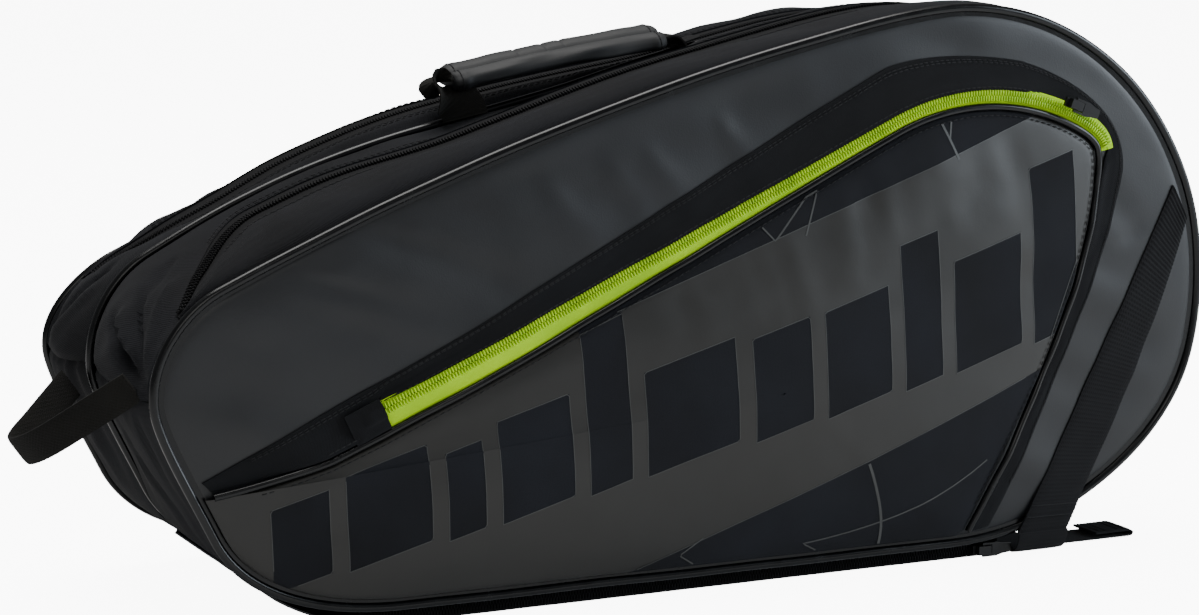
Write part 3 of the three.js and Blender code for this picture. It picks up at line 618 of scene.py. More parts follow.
COVER = coated("cover", rgb(0x141517), rgb(0x242629), 0.36, 1.3)
WRAP = coated("handle_cloth", rgb(0x07080A), rgb(0x0E1013), 0.66, 0.8)
FILM = coated("film", rgb(0x11100D), rgb(0x191713), 0.46, 1.1, 0.02, 120, 0.03)
PRINT = coated("print_line", rgb(0x2A2B2A), rgb(0x3C3D3C), 0.5, 0.7, 0.01, 40)
PIPING = glossy("piping", rgb(0x040405), rgb(0x090A0B), 0.22, 0.0)
COIL_BLACK = glossy("coil_black", rgb(0x070708), rgb(0x121214), 0.6, 0.0, 0.12)
COIL_LIME = glossy("coil_lime", rgb(0x8CB800), rgb(0xB4DC0A), 0.42, 0.1)
HARDWARE = enamel("hardware", rgb(0x0B0B0C), rgb(0x3B3B3D), 0.34)
BUCKLE = enamel("buckle", rgb(0x0C0C0D), rgb(0x232324), 0.46)
FOAM = woven("foam", rgb(0x2A2A2C), rgb(0x3C3C3F), 1.6, 0.95, False, 0.2, 0.1, "object", 25)

# ---- Panels --------------------------------------------------------------------------------------


def edge_steps(reach_mm, rings):
    """Shares from the edge (1) to the middle (0): close together where the cloth rolls over."""
    near = 1 - np.array([0, 0.7, 1.6, 2.8, 4.5, 7, 10.5]) / reach_mm
    return np.append(near, np.linspace(near[-1], 0.004, rings)[1:])


def panel_waves(p, seed):
    """Slow waves and a few longer folds in a foam-backed panel."""
    x, z = p[..., 0], p[..., 1]
    slow = ripple(x / 120, z / 90, seed)
    folds = ripple((x * 0.94 - z * 0.34) / 95, (x * 0.34 + z * 0.94) / 26, seed + 7.3)
    small = ripple(x / 22, z / 18, seed + 3.1)
    return 1.3 * slow + 0.75 * folds + 0.12 * small


FRONT_FOLDS = (  # start, end, width and depth of the longer creases in the front panel
    ((-40, 240), (-12, 204), 9, -0.6),
    ((-62, 232), (-30, 190), 10, -0.7),
    ((2, 254), (26, 222), 8, -0.6),
    ((-96, 226), (-70, 186), 10, -0.5),
    ((-215, 214), (-110, 176), 11, 1.7),
    ((-232, 186), (-140, 158), 9, 1.2),
    ((262, 232), (292, 214), 6, 1.0),
    ((258, 176), (286, 196), 6, 0.9),
)


def front_face(p):
    """y of the front panel's face."""
    share = star(p, PANEL_CENTRE, RING_POINTS)
    from_track = np.abs(np.linalg.norm(p - np.array(POCKET_ARC[:2]), axis=-1) - POCKET_ARC[2])
    inside = smooth(1.0, 0.86, share) * lerp(0.15, 1.0, smooth(7, 30, from_track))
    creases = sum(valley(p[..., 0], p[..., 1], *fold) for fold in FRONT_FOLDS)
    return -(125.6 + FRONT_CROWN * (1 - share**2) + (1.25 * panel_waves(p, 1.7) + creases) * inside)


def rear_ring():
    return RING_POINTS + RING_NORMALS * rear_offset(RING_POINTS)[:, None]


def rear_face(p):
    share = star(p, PANEL_CENTRE, rear_ring())
    inside = smooth(1.0, 0.86, share)
    return 72.6 + REAR_CROWN * (1 - share**2) + panel_waves(p, 4.2) * inside


def plate(body, edge, centre, face, thickness, side, rings=52, roll=1.6, weight=1.0, back=None):
    """A closed cloth plate inside an edge. face(p) gives y of its outer side; its rim rolls in."""
    reach_mm = np.linalg.norm(edge - centre, axis=1)
    steps = edge_steps(reach_mm.mean(), rings)
    p = centre + (edge - centre)[:, None, :] * steps[None, :, None]
    distance = (1 - steps)[None, :] * reach_mm[:, None]
    y = face(p) - side * roll * np.exp(-distance / 2.2)
    sections = shell(with_y(p, y), with_y(p, y - side * thickness if back is None else back(p)))
    rows, cols = sections.shape[:2]
    w = weight(shell(p, p)) if callable(weight) else weight
    body.sweep(sections, lengths(edge), np.zeros(cols), w, True)
    faces = body.faces[-1] - (body.count - rows * cols)
    body.uv[-1] = sections.reshape(-1, 3)[faces][:, :, ::2]


def inset(edge_run, distance, offset_at=no_offset):
    return edge_run.p + edge_run.n * (offset_at(edge_run.p) - distance)[:, None]


HALVES = (  # name, side, offset of its outline, depth and face of each compartment
    ("front", -1, no_offset, FRONT_DEPTH, front_face),
    ("rear", 1, rear_offset, REAR_DEPTH, rear_face),
)


def lids():
    """Panels, their foam and their linings, on both compartments."""
    for name, side, offset_at, _, face in HALVES:
        lid = f"{name}_lid"
        outer = Body()
        plate(outer, inset(RING, 3.1, offset_at), PANEL_CENTRE, face, 1.4, side)
        panel = outer.make(f"{name}_panel_cloth", COATED, lid, "coated", [f"{name}_panel"])

        foam = Body()
        foam_face = lambda p: face(p) - side * 3.0
        plate(foam, inset(RING, 7, offset_at), PANEL_CENTRE, foam_face, 5.0, side, 24, 1.5)
        foam.make(f"{name}_panel_pad", FOAM, lid, "foam", [f"{name}_panel_foam"])

        lining = Body()
        tucks = lambda p: face(p) - side * (9.4 - 0.9 * ripple(p[..., 0] / 42, p[..., 1] / 30, 9.1))
        plate(lining, inset(RING, 6, offset_at), PANEL_CENTRE, tucks, 0.7, side, 34, -1.2)
        sheet = lining.make(f"{name}_panel_liner", LINING, lid, "lining", [f"{name}_panel_lining"])
        declare_sheet(sheet)


def declare_sheet(obj, width_mm=None, length_mm=None):
    """Works out the flat size and area of a cloth's outer face; the result is not kept."""
    area = sum(p.area for p in obj.data.polygons) / 2
    if width_mm is None:
        co = np.array([v.co for v in obj.data.vertices])
        width, length = sorted(co.max(0) - co.min(0))[1:]
    else:
        width, length = width_mm * 0.001, length_mm * 0.001
    length = max(length, area / width)
    size = round(float(width) + 0.001, 3), round(float(length) + 0.001, 3)
    area = max(area, LEAST_SHARE * size[0] * size[1])


def pipings():
    for name, y, offset_at, body, waves in (
        ("front_piping", -FRONT_DEPTH, no_offset, "front_lid", 0.3),
        ("rear_piping", REAR_DEPTH, rear_offset, "rear_lid", 0.3),
        ("mid_piping", 0.0, mid_offset, "carcass", 0.35),
    ):
        made = Body()
        sway = waves * ripple(RING.s / 60, 0, y)
        cord = tube_on(RING, offset_at(RING.p) + sway, y + 0.5 * sway, 2.55, 14)
        made.sweep(cord, RING.s, np.linspace(0, 16, 14), 1.0, True)
        flange = np.array([[-1.0, 0.45], [-5.5, 0.4], [-5.5, -0.4], [-1.0, -0.45]])
        rim = place(RING, offset_at(RING.p)[:, None] + flange[:, 0], y + flange[:, 1])
        made.sweep(rim, RING.s, np.array([0, 5, 6, 10.0]), 1.0, True)
        made.make(name + "_cord", PIPING, body, "piping", [name])


# ---- Gussets and compartment zips ----------------------------------------------------------------

ZIP_LAST = int(np.max(np.nonzero((UPPER.p[:, 0] > 0) | (UPPER.p[:, 1] > ZIP_TURN_Z[0])))) + 1
ZIP_UPPER = Run(UPPER.p[:ZIP_LAST], UPPER.n[:ZIP_LAST])
ZIP_END = ZIP_UPPER.s[-1]
NOSE_CREASES = {  # start, end, width and depth of the gussets' creases, as (from the nose, y)
    "front": (
        ((28, -44), (9, -108), 4.2, 9.0),
        ((44, -70), (12, -110), 3.2, 5.0),
        ((34, -56), (12, -100), 4.4, -4.5),
        ((62, -80), (16, -116), 5.0, -3.4),
        ((70, -50), (46, -72), 5.0, 2.4),
    ),
    "rear": (
        ((52, 26), (8, 62), 4.0, 4.0),
        ((40, 20), (10, 48), 5.0, -2.4),
    ),
}


def zip_sway(run):
    calm = smooth(60, 200, run.p[:, 0])
    return 0.55 * (1 - 0.75 * calm) * ripple(run.s / 55, 0.4, 2.2)


def opened(run):
    """0 at the zip's two ends, where its halves are joined, and 1 further along."""
    return (smooth(0, 14, run.s) * smooth(ZIP_END + 1, ZIP_END - 85, run.s))[:, None]


def lip(y, piping_edge):
    """The seam allowance beside a piping: a narrow ridge, then the row that holds it down."""
    from_piping = np.abs(piping_edge - y)
    return 1.3 * bell(from_piping, 3.4, 2.4) - 1.5 * bell(from_piping, 7.6, 1.3)


def outward(run):
    return with_y(run.n, 0.0)


class Compartment:
    """One racket compartment: where its cloth and zip lie, and how far they follow its lid."""

    def __init__(self, name, side, offset_at, depth):
        self.name, self.side, self.offset_at, self.depth = name, side, offset_at, depth
        self.sewn = ("carcass", f"{name}_lid")
        self.seam = side * 2.9
        self.piping = side * (depth - 2.7)

    def make(self):
        side = self.side
        self.inner_gusset()
        self.outer_gusset()
        self.lower_gusset()
        self.zip_half("inner", -side, self.with_carcass)
        self.zip_half("outer", side, self.with_lid)

    def zip_at(self, run):
        return lerp(ZIP_Y[self.name], self.side * (self.depth - ZIP_END_GAP), zip_turn(run.p))

    def tape_half(self, run):
        return lerp(TAPE_HALF, ZIP_END_TAPE, zip_turn(run.p))

    def tape_edge(self, run, way):
        return self.zip_at(run) + way * (self.tape_half(run) + 0.2)

    def toward_piping(self, run, y):
        """How far cloth at y follows the lid where no zip parts it: 1 at the piping."""
        from_nose = np.linalg.norm(run.p - NOSE, axis=1)[:, None]
        near, far = (104.0, 57.0) if self.name == "front" else (45.0, 45.0)
        start = lerp(near, far, smooth(12, 70, from_nose))
        return 1 - (1 - smooth(start, self.depth - 3, np.abs(y))) ** 1.5

    def with_carcass(self, run, y):
        return self.toward_piping(run, y) * (1 - opened(run))

    def with_lid(self, run, y):
        return 1 - (1 - self.toward_piping(run, y)) * (1 - opened(run))

    def gusset(self, part, run, y, rise, weight, width):
        """A gusset cloth from its rows of y and of rise outside the outline."""
        made = Body()
        thick_sheet(made, place(run, rise, y), -outward(run)[:, None, :], 1.5, run.s, None, weight)
        node = f"{self.name}_{part}_gusset"
        cloth = made.make(node + "_cloth", TWILL, None, "twill", [node], self.sewn)
        declare_sheet(cloth, width, run.s[-1])

    def sewing(self, half, run, y, rise, way, follows):
        """Two rows of stitches beside the zip, on the gusset with these rows of y and rise."""
        rows = Body()
        keep = slice(2, ZIP_LAST - 12)
        order = int(np.sign(y[0, -1] - y[0, 0]))
        for gap in (1.8, 4.4):
            row_y = self.tape_edge(run, way) + way * gap
            rows_at = zip(row_y, y[:, ::order], rise[:, ::order])
            high = np.array([np.interp(at, *row) for at, *row in rows_at])
            line = place(run, high[:, None] + 0.2, row_y[:, None])[:, 0]
            sew(rows, line[keep], outward(run)[keep], weight=follows(run, row_y[:, None])[keep, 0])
        rows.make(f"{self.name}_zip_{half}_stitching", THREAD, None, "twill", blend=self.sewn)

    def inner_gusset(self):
        """From the middle seam to the zip, and past the zip's end on to the piping, where it folds."""
        run, side = UPPER, self.side
        past = smooth(ZIP_END - 5, ZIP_END + 3, run.s)[:, None]
        turn = zip_turn(run.p)[:, None]
        edge = lerp(self.tape_edge(run, -side)[:, None], self.piping, past)
        t = np.concatenate([[0, 0.02, 0.05], np.linspace(0.09, 0.93, 22), [0.965, 0.985, 1.0]])
        y = lerp(self.seam, edge, t)
        high = lerp(zip_offset(self.name, run.p)[:, None], self.offset_at(run.p)[:, None], past)
        share = 0.35 * smooth(0, 0.5, t) + 0.65 * t
        rise = lerp(mid_offset(run.p)[:, None], high + zip_sway(run)[:, None], share)
        belly = np.sin(math.pi * t)
        rise = rise + belly * (1.2 + 4.6 * turn) - 1.4 * np.exp(-t / 0.03)
        rise = rise + 0.55 * np.exp(-(1 - t) / 0.05) * (1 - past)
        rise = rise + past * (lip(y, self.piping) - 2.4 * np.exp(-(1 - t) / 0.02))
        from_nose = (run.s[-1] - run.s)[:, None]
        folds = 0.8 * ripple(run.s[:, None] / 26, y / 60 + 5, 3.3 + side)
        folds = folds + turn * 1.5 * ripple(from_nose / 16 + y / 38, y / 40, 13.3 + side)
        folds = folds + sum(valley(from_nose, y, *crease) for crease in NOSE_CREASES[self.name])
        if self.name == "front":
            under_handle = smooth(-135, -105, run.p[:, 0]) * smooth(48, 26, run.p[:, 0])
            folds = folds - 2.4 * under_handle[:, None]
        rise = rise + belly**0.7 * folds
        rise = rise - 2.4 * np.exp(-from_nose / 2.6) - 1.0 * np.exp(-run.s[:, None] / 1.6)
        self.sewing("inner", run, y, rise, -side, self.with_carcass)
        width = float(np.abs(edge - self.seam).mean())
        self.gusset("inner", run, y, rise, self.with_carcass(run, y), width)

    def outer_gusset(self):
        """Swells between the zip and the piping, and narrows to nothing where the zip ends."""
        run, side = ZIP_UPPER, self.side
        edge = self.tape_edge(run, side)[:, None]
        t = np.concatenate([[0, 0.012, 0.03, 0.06], np.linspace(0.1, 0.9, 21), [0.94, 0.965, 0.985, 1.0]])
        y = lerp(edge, self.piping, t)
        shares, swells = [0, 0.18, 0.35, 0.55, 0.72, 0.86, 0.95, 1], [0, 0.4, 0.72, 0.95, 1.0, 0.82, 0.45, 0]
        swell = np.interp(t, shares, swells)
        turn = zip_turn(run.p)[:, None]
        rise = lerp(zip_offset(self.name, run.p)[:, None], self.offset_at(run.p)[:, None] + 0.6, t)
        rise = rise + gusset_swell(self.name, run.p)[:, None] * (1 - 0.7 * turn) * swell
        rise = rise + zip_sway(run)[:, None] * (1 - t)
        rise = rise + 0.7 * np.exp(-t / 0.03) - 2.6 * np.exp(-(1 - t) / 0.022)
        along = run.s[:, None]
        folds = 0.8 * ripple(along / 34 + t * 0.8, t * 1.3, 6.1 + side)
        sharp = np.abs(ripple(along / 30 + t * 1.9, t * 0.9, 12.4 + side)) ** 0.6
        pleats = 1.2 * ripple(along / 14 - t * 2.1, t * 1.6, 8.4 + side)
        folds = folds + 0.5 * (0.5 - sharp) + smooth(130, 60, ZIP_END - along) * pleats
        rise = rise + np.sin(math.pi * t) ** 0.6 * folds
        self.sewing("outer", run, y, rise, side, self.with_lid)
        width = float(np.abs(edge - self.piping).mean())
        self.gusset("outer", run, y, rise, self.with_lid(run, y), width)

    def lower_gusset(self):
        """From the middle seam to the piping, round both ends and underneath."""
        run, side = LOWER, self.side
        along = run.s[:, None]
        t = np.concatenate([[0, 0.02, 0.05], np.linspace(0.1, 0.9, 19), [0.95, 0.975, 1.0]])
        y = lerp(self.seam, self.piping, t)
        high = smooth(20, 90, run.p[:, 1])[:, None]
        belly = lerp(5.6, 0.0, smooth(-100, 120, run.p[:, 0]))[:, None]
        shape = np.interp(t, [0, 0.25, 0.5, 0.8, 1], [0, 0.6, 1, 0.6, 0]) * belly
        base = lerp(mid_offset(run.p)[:, None] * high, self.offset_at(run.p)[:, None], smooth(0, 1, t))
        rise = base + shape * high - 1.6 * np.exp(-t / 0.02) * high - 1.8 * np.exp(-(1 - t) / 0.02)
        left = smooth(-150, -260, run.p[:, 0])[:, None]
        folds = 0.9 * ripple(along / 40 + t * 1.2, t * 2.6, 15.2 + side)
        folds = folds + left * 2.2 * (0.35 - np.abs(ripple(along / 120, t * 5.2, 17.9 + side)))
        if self.name == "front":
            folds = folds + left * valley(along, y, (6, -98), (150, -112), 3.0, 2.4)
            folds = folds + left * valley(along, y, (20, -60), (120, -96), 4.0, 1.8)
            rise = rise + left * smooth(1, 8, along) * lip(y, self.piping)
        rise = rise + np.sin(math.pi * t) ** 0.6 * high * folds
        rise = rise - 2.0 * np.exp(-along / 2.2) - 1.0 * np.exp(-(run.s[-1] - along) / 1.6)
        self.gusset("lower", run, y, rise, self.toward_piping(run, y), abs(self.piping - self.seam))

    def zip_half(self, half, towards, follows):
        """A tape with its row of coil."""
        run = ZIP_UPPER
        own = zip_offset(self.name, run.p)
        sway = zip_sway(run)
        shares = np.array([0.03, 0.1, 0.25, 0.45, 0.65, 0.85, 1.06])
        y = self.zip_at(run)[:, None] + towards * self.tape_half(run)[:, None] * shares
        lift = (own + sway)[:, None] + np.array([-0.05, 0.0, -0.2, -0.4, -0.4, -0.3, -0.2])
        made = Body()
        thick_sheet(made, place(run, lift, y), -outward(run)[:, None, :], 0.8, run.s, None, follows(run, y))
        at = np.arange(3 + (COIL_PITCH / 2 if half == "inner" else 0), ZIP_END - 2, COIL_PITCH)
        here = run.at(at)
        proud = 0.75 if self.name == "front" else 0.25
        height = zip_offset(self.name, here.p) + proud + np.interp(at, run.s, sway)
        line = place(run, (own + proud + sway)[:, None], self.zip_at(run)[:, None])[:, 0]
        ahead = sampled(at, run.s, unit(np.gradient(line, axis=0)))
        across_zip = unit(np.cross(outward(here), ahead))
        across_zip *= np.sign(across_zip[:, 1:2]) * towards
        origins = place(here, height[:, None], self.zip_at(here)[:, None])[:, 0] + across_zip * 1.55
        weight = follows(here, origins[:, 1:2])[:, 0]
        made.copies(*TOOTH, origins, frames(across_zip, outward(here)), weight, 1)
        node = f"{self.name}_zip_{half}"
        made.make(node, [TAPE_BLACK, COIL_BLACK], None, "zip_black", [node + "_half"], self.sewn)


# ---- Webbing -------------------------------------------------------------------------------------


def ribbed(centre, side_dir, up, width, thickness, rib):
    """Sections of a ribbed strap along a dense 3-D centre line."""
    depth, columns = 0.22, 9
    s = lengths(centre)
    v = np.linspace(-0.5, 0.5, columns)
    ridge = depth * np.cos(2 * math.pi * s / rib)[:, None]
    edge = 1 - 0.35 * np.abs(2 * v) ** 8
    scallop = 0.18 * np.cos(2 * math.pi * s / rib)[:, None]
    wide = np.broadcast_to(np.asarray(width, float), s.shape)[:, None] + scallop * np.ones(columns)
    out = centre[:, None, :] + side_dir[:, None, :] * (wide * v)[..., None]
    top = out + up[:, None, :] * ((thickness / 2 + ridge) * edge)[..., None]
    bottom = out - up[:, None, :] * ((thickness / 2 - 0.4 * ridge) * edge)[..., None]
    return shell(top, bottom), s, np.concatenate([v * 25, v[::-1] * 25])


def strap(body, line, side_dir, width, thickness, rib=2.4, weight_at=None):
    """A ribbed strap along a 3-D line; side_dir, or side_dir(line), leads across it."""
    line = spaced(line, 0.6)
    tangent = unit(np.gradient(line, axis=0))
    wanted = side_dir(line) if callable(side_dir) else np.asarray(side_dir, float)
    side = unit(np.broadcast_to(wanted, line.shape) * 1.0)
    side = unit(side - tangent * (side * tangent).sum(1)[:, None])
    up = np.cross(side, tangent)
    sections, s, v = ribbed(line, side, up, width, thickness, rib)
    body.sweep(sections, s, v, 1.0 if weight_at is None else weight_at(s))


def panel_webbing(name, side, offset_at, _, face):
    """The strap sewn up a panel, tapering in towards the piping at the wide end."""
    lid = f"{name}_lid"
    rows = 300
    t = np.linspace(0, 1, rows)[:, None]
    left = np.array([191.0, 14]) * (1 - t) + np.array([290.5, 206.0]) * t
    right = bezier([(223, 14), (272, 103), (300.8, 186.5)], rows)
    left = left + offset_at(left)[:, None]
    right = right + offset_at(right)[:, None]
    v = np.linspace(0, 1, 11)[None, :, None]
    p = left[:, None, :] * (1 - v) + right[:, None, :] * v
    s = lengths((left + right) / 2)
    rib = 0.24 * np.cos(2 * math.pi * s / 2.5)[:, None]
    over = 2.4 * (1 - smooth(15, 48, p[..., 1]))
    edge = 0.7 * np.abs(2 * v[..., 0] - 1) ** 10
    y = face(p) + side * (1.5 + rib - edge + over)
    outer = with_y(p, y)
    made = Body()
    thick_sheet(made, outer, -side * REARWARD, 1.35, s, np.linspace(0, 25, 11))
    # The strap turns under the base over the piping.
    x0, x1 = left[0, 0], right[0, 0]
    foot = y[0].mean()
    path = bezier([(0, foot, 14.2), (0, foot, 4.6), (0, foot - side * 8, 2.2)], 40)
    path[:, 0] = (x0 + x1) / 2
    strap(made, path, (1, 0, 0), x1 - x0, 1.4, rib=2.5)
    made.make(f"{name}_webbing_strap", WEBBING, lid, "webbing", [f"{name}_webbing"])
    stitches = Body()
    for share in (0.1, 0.9):
        line = lerp(outer[8:-4, 0], outer[8:-4, 10], share) + side * 0.12 * REARWARD
        sew(stitches, line, side * REARWARD, 3.6)
    for k in (14, 24):
        sew(stitches, outer[k] + side * 0.3 * REARWARD, side * REARWARD, 2.6)
    stitches.make(f"{name}_webbing_stitching", THREAD, lid, "webbing")


def under_webbing():
    for name, side, depth, end in (("front", -1, FRONT_DEPTH, -62), ("rear", 1, REAR_DEPTH, 26)):
        made = Body()
        line = [(205.5, side * (depth - 3.5), 2.15), (205.5, side * (depth - 12), 1.9), (205.5, end, 1.9)]
        strap(made, line, (1, 0, 0), 28, 1.4)
        made.make(f"{name}_webbing_below", WEBBING, "carcass", "webbing", [f"{name}_webbing_under"])
        buckle(name)


def block(name, low, high):
    """A plain box between two corners in millimetres."""
    mesh = bpy.data.meshes.new(name)
    low, high = np.array(low, float), np.array(high, float)
    reworked(mesh, lambda work: bmesh.ops.create_cube(work, size=1.0))
    for vert in mesh.vertices:
        vert.co = Vector((low + high) / 2 + np.array(vert.co) * (high - low)) * 0.001
    return added(name, mesh)


def rounded_box(low, high, radius, material, name, body, replaces, holes=()):
    """A moulded piece: a block with rounded edges and slots cut through it, closed all round."""
    obj = block(name, low, high)
    for start, end in holes:
        tool = block("cutter", start, end)
        boolean = obj.modifiers.new("slot", "BOOLEAN")
        boolean.object = tool
        boolean.operation = "DIFFERENCE"
        apply_modifiers(obj)
        bpy.data.objects.remove(tool)
    soften(obj, radius)
    apply_modifiers(obj)
    obj.data.materials.clear()
    obj.data.materials.append(material)
    obj.data.polygons.foreach_set("use_smooth", np.ones(len(obj.data.polygons), bool))
    obj.data.set_sharp_from_angle(angle=math.radians(40))
    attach(obj, body)
    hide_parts(*replaces)


def soften(obj, radius_mm):
    """Rounds the sharp edges with a modifier."""
    bevel = obj.modifiers.new("soft_edges", "BEVEL")
    bevel.width = radius_mm * 0.001
    bevel.segments = 3
    bevel.limit_method = "ANGLE"


def apply_modifiers(obj):
    bpy.context.view_layer.update()
    graph = bpy.context.evaluated_depsgraph_get()
    made = bpy.data.meshes.new_from_object(obj.evaluated_get(graph))
    obj.modifiers.clear()
    obj.data = made


def buckle(name):
    low, high = [np.array(c) * 1000 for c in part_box(f"{name}_ladder_lock")]
    span = high[1] - low[1]
    holes = []
    for share in (0.25, 0.65):
        y = low[1] + share * span
        holes.append(((low[0] + 4, y, low[2] - 2), (high[0] - 4, y + 3.4, high[2] + 2)))
    rounded_box(low, high, 0.8, BUCKLE, f"{name}_ladder_buckle", "carcass",
                [f"{name}_ladder_lock"], holes)


def strap_tail():
    made = Body()
    y = -99.5
    line = [(221.5, y, 1.1), (230, y, 1.0), (277.5, y, 1.0), (279.6, y, 1.5), (279.9, y, 2.6),
            (279.2, y, 3.6), (277, y, 4.1), (255, y, 4.0)]
    strap(made, line, (0, 1, 0), 24.6, 1.45, rib=2.2)
    made.make("front_strap_tail_webbing", WEBBING, "strap_tail", "webbing", ["front_strap_tail"])
    rows = Body()
    for x in (258.5, 263, 271, 275):
        sew(rows, spaced([(x, y - 10.5, 4.95), (x, y + 10.5, 4.95)], 1), (0, 0, 1), 2.6)
    rows.make("front_strap_tail_stitching", THREAD, "strap_tail", "webbing")


# ---- Front pocket --------------------------------------------------------------------------------


def pocket_zip_line():
    x, z, r, start, end = POCKET_ARC
    bow = arc(x, z, r, end, start)
    return joined([(-199, 114.5), bow[0]], bow, bezier([bow[-1], (232, 243.5), (241, 238), (242, 229)]))


ZIP_RUN = Run(spaced(pocket_zip_line(), 2.4))


def pocket_depth(p):
    return lerp(12.5, 6.2, smooth(-150, 110, p[..., 0]))


def pocket_edge():
    right = bezier(POCKET_RIGHT)
    top = ZIP_RUN.p + ZIP_RUN.n * pocket_depth(ZIP_RUN.p)[:, None]
    left = bezier(POCKET_LEFT)
    corner = bezier([right[-1], (237, 222), (236.5, 226), top[-1]], 12)
    blend_in = bezier([top[0], (-208, 97.5), (-215, 94.5), left[0]], 12)
    return joined(right, corner, top[::-1], blend_in, left)


POCKET_EDGE = Run(spaced(pocket_edge(), 2.4))


def pocket_outline():
    """Closed and counter-clockwise from the panel's low right corner."""
    free = POCKET_EDGE.p - POCKET_EDGE.n * 2.3
    beside = (LOWER.p[:, 1] < 77) & (LOWER.p[:, 0] < 152)
    sewn = (LOWER.p - LOWER.n * 4.6)[beside]
    return spaced(joined(free, sewn, free[:1]), 2.9)[:-1]


POCKET_OUTLINE = pocket_outline()


def pocket_face(p):
    """y of the pocket panel's outer face: it swells off the front panel, with soft folds."""
    share = star(p, POCKET_CENTRE, POCKET_OUTLINE)
    dome = FRONT_CROWN * (1 - star(p, PANEL_CENTRE, RING_POINTS) ** 2)
    x, z = p[..., 0], p[..., 1]
    inside = smooth(1.0, 0.82, share)
    folds = ripple((x * 0.95 + z * 0.3) / 70, (z * 0.95 - x * 0.3) / 24, 21.5)
    slow = ripple(x / 90, z / 70, 23.0)
    small = ripple(x / 16, z / 14, 24.0)
    under_zip = np.interp(x, ZIP_RUN.p[:, 0], ZIP_RUN.p[:, 1]) - 8 - z
    gathers = ripple(x / 15 + z / 55, z / 80, 25.5) * np.exp(-np.clip(under_zip, 0, None) / 38)
    waves = 1.1 * slow + 0.8 * folds + 0.12 * small + 1.0 * gathers * smooth(-90, 90, x)
    return -(129.8 + dome + POCKET_CROWN * (1 - share**2) + waves * inside)


def pocket_follow(p):
    """How far a point of the pocket swings out with its flap: the mouth gapes between its ends."""
    x, z = p[..., 0], p[..., 1]
    from_tip = smooth(-206, -70, x)
    right = bezier(POCKET_RIGHT)
    edge_x = np.interp(z, right[:, 1], right[:, 0], left=150, right=240)
    return from_tip * smooth(4, 95, edge_x - x + 0 * z)


def cut(work, geometry, line):
    """Cuts a bmesh along a straight line given as two points in x and z."""
    (x0, z0), (x1, z1) = line
    bmesh.ops.bisect_plane(
        work,
        geom=geometry,
        plane_co=Vector((x0, 0, z0)) * 0.001,
        plane_no=Vector((z1 - z0, 0, x0 - x1)).normalized(),
        dist=1e-7,
    )


FILM_TOP = ((-106, 144), (186, 248))
FILM_LOW = ((-55, 16), (188, 105))
BARS = (  # width, gap and height of the slanted stripes in the print
    (30, 9, 44), (44, 9, 50), (20, 9, 46), (40, 9, 54), (24, 9, 90), (52, 10, 56),
    (34, 9, 56), (40, 9, 58), (24, 9, 80), (44, 9, 62), (30, 0, 98),
)


def line_z(line, x):
    (x0, z0), (x1, z1) = line
    return z0 + (z1 - z0) * (x - x0) / (x1 - x0)


def bars():
    """Upright stripes with slanted ends, on a rising line."""
    made = []
    x = -250.0
    for width, gap, tall in BARS:
        foot = 26 + 0.22 * (x + 250)
        rise, lean = 0.30 * width, -0.06 * tall
        low = [(x, foot), (x + width, foot + rise)]
        made.append(low + [(x + width + lean, foot + rise + tall), (x + lean, foot + tall)])
        x += width + gap
    return made


def inside_polygon(x, z, polygon):
    result = np.ones(np.shape(x), bool)
    for (x0, z0), (x1, z1) in zip(polygon, polygon[1:] + polygon[:1]):
        result &= (x1 - x0) * (z - z0) - (z1 - z0) * (x - x0) >= 0
    return result


def printed_line(body, corners, width):
    """A thin raised print line that follows the pocket cloth through its corners."""
    line = spaced(corners, 2.5)
    within = star(line, POCKET_CENTRE, POCKET_OUTLINE) < 0.985
    if within.sum() < 2:
        return
    line = line[within]
    half = square_to(np.gradient(line, axis=0)) * width / 2
    p = np.stack([line + half, line - half], 1)
    y = pocket_face(p)
    section = shell(with_y(p, y - 0.14), with_y(p, y + 0.1))
    body.sweep(section, lengths(line), np.array([0, 1, 1.2, 2.2]), pocket_follow(shell(p, p)))


def pocket():
    flap = ("front_lid", "pocket_flap")
    made = Body()
    plate(made, POCKET_OUTLINE, POCKET_CENTRE, pocket_face, 1.3, -1, 58, 1.7, weight=pocket_follow)
    panel = made.make("pocket_panel_cloth", [POCKET_WEAVE, FILM], slot="pocket_face")
    stripes = bars()
    reworked(panel.data, lambda work: cut_prints(work, stripes))
    mark_film(panel, stripes)
    follow(panel, *flap)
    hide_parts("pocket_panel")
    declare_sheet(panel)

    lines = Body()
    for corners, width in print_shapes() + print_outlines(stripes):
        printed_line(lines, corners, width)
    lines.make("pocket_print_lines", PRINT, None, "pocket_face", blend=flap)
    pocket_piping(flap)
    pocket_zip(flap)
    pocket_band()


def cut_prints(work, stripes):
    """Cuts the cloth where the film and its stripes end, so that they end crisply."""
    sides = [(stripe[a], stripe[b]) for stripe in stripes for a, b in ((0, 3), (1, 2))]
    for line in [FILM_TOP, FILM_LOW, *sides]:
        cut(work, work.verts[:] + work.edges[:] + work.faces[:], line)
    # The stripes' tops and feet are cut only across their own faces.
    for line in [(stripe[k], stripe[k + 1]) for stripe in stripes for k in (0, 2)]:
        (x0, z0), (x1, z1) = line
        geometry = set()
        for face in work.faces:
            x, _, z = face.calc_center_median() * 1000
            if min(x0, x1) - 14 < x < max(x0, x1) + 14 and abs(z - (z0 + z1) / 2) < 22:
                geometry.update([face, *face.verts, *face.edges])
        cut(work, list(geometry), line)


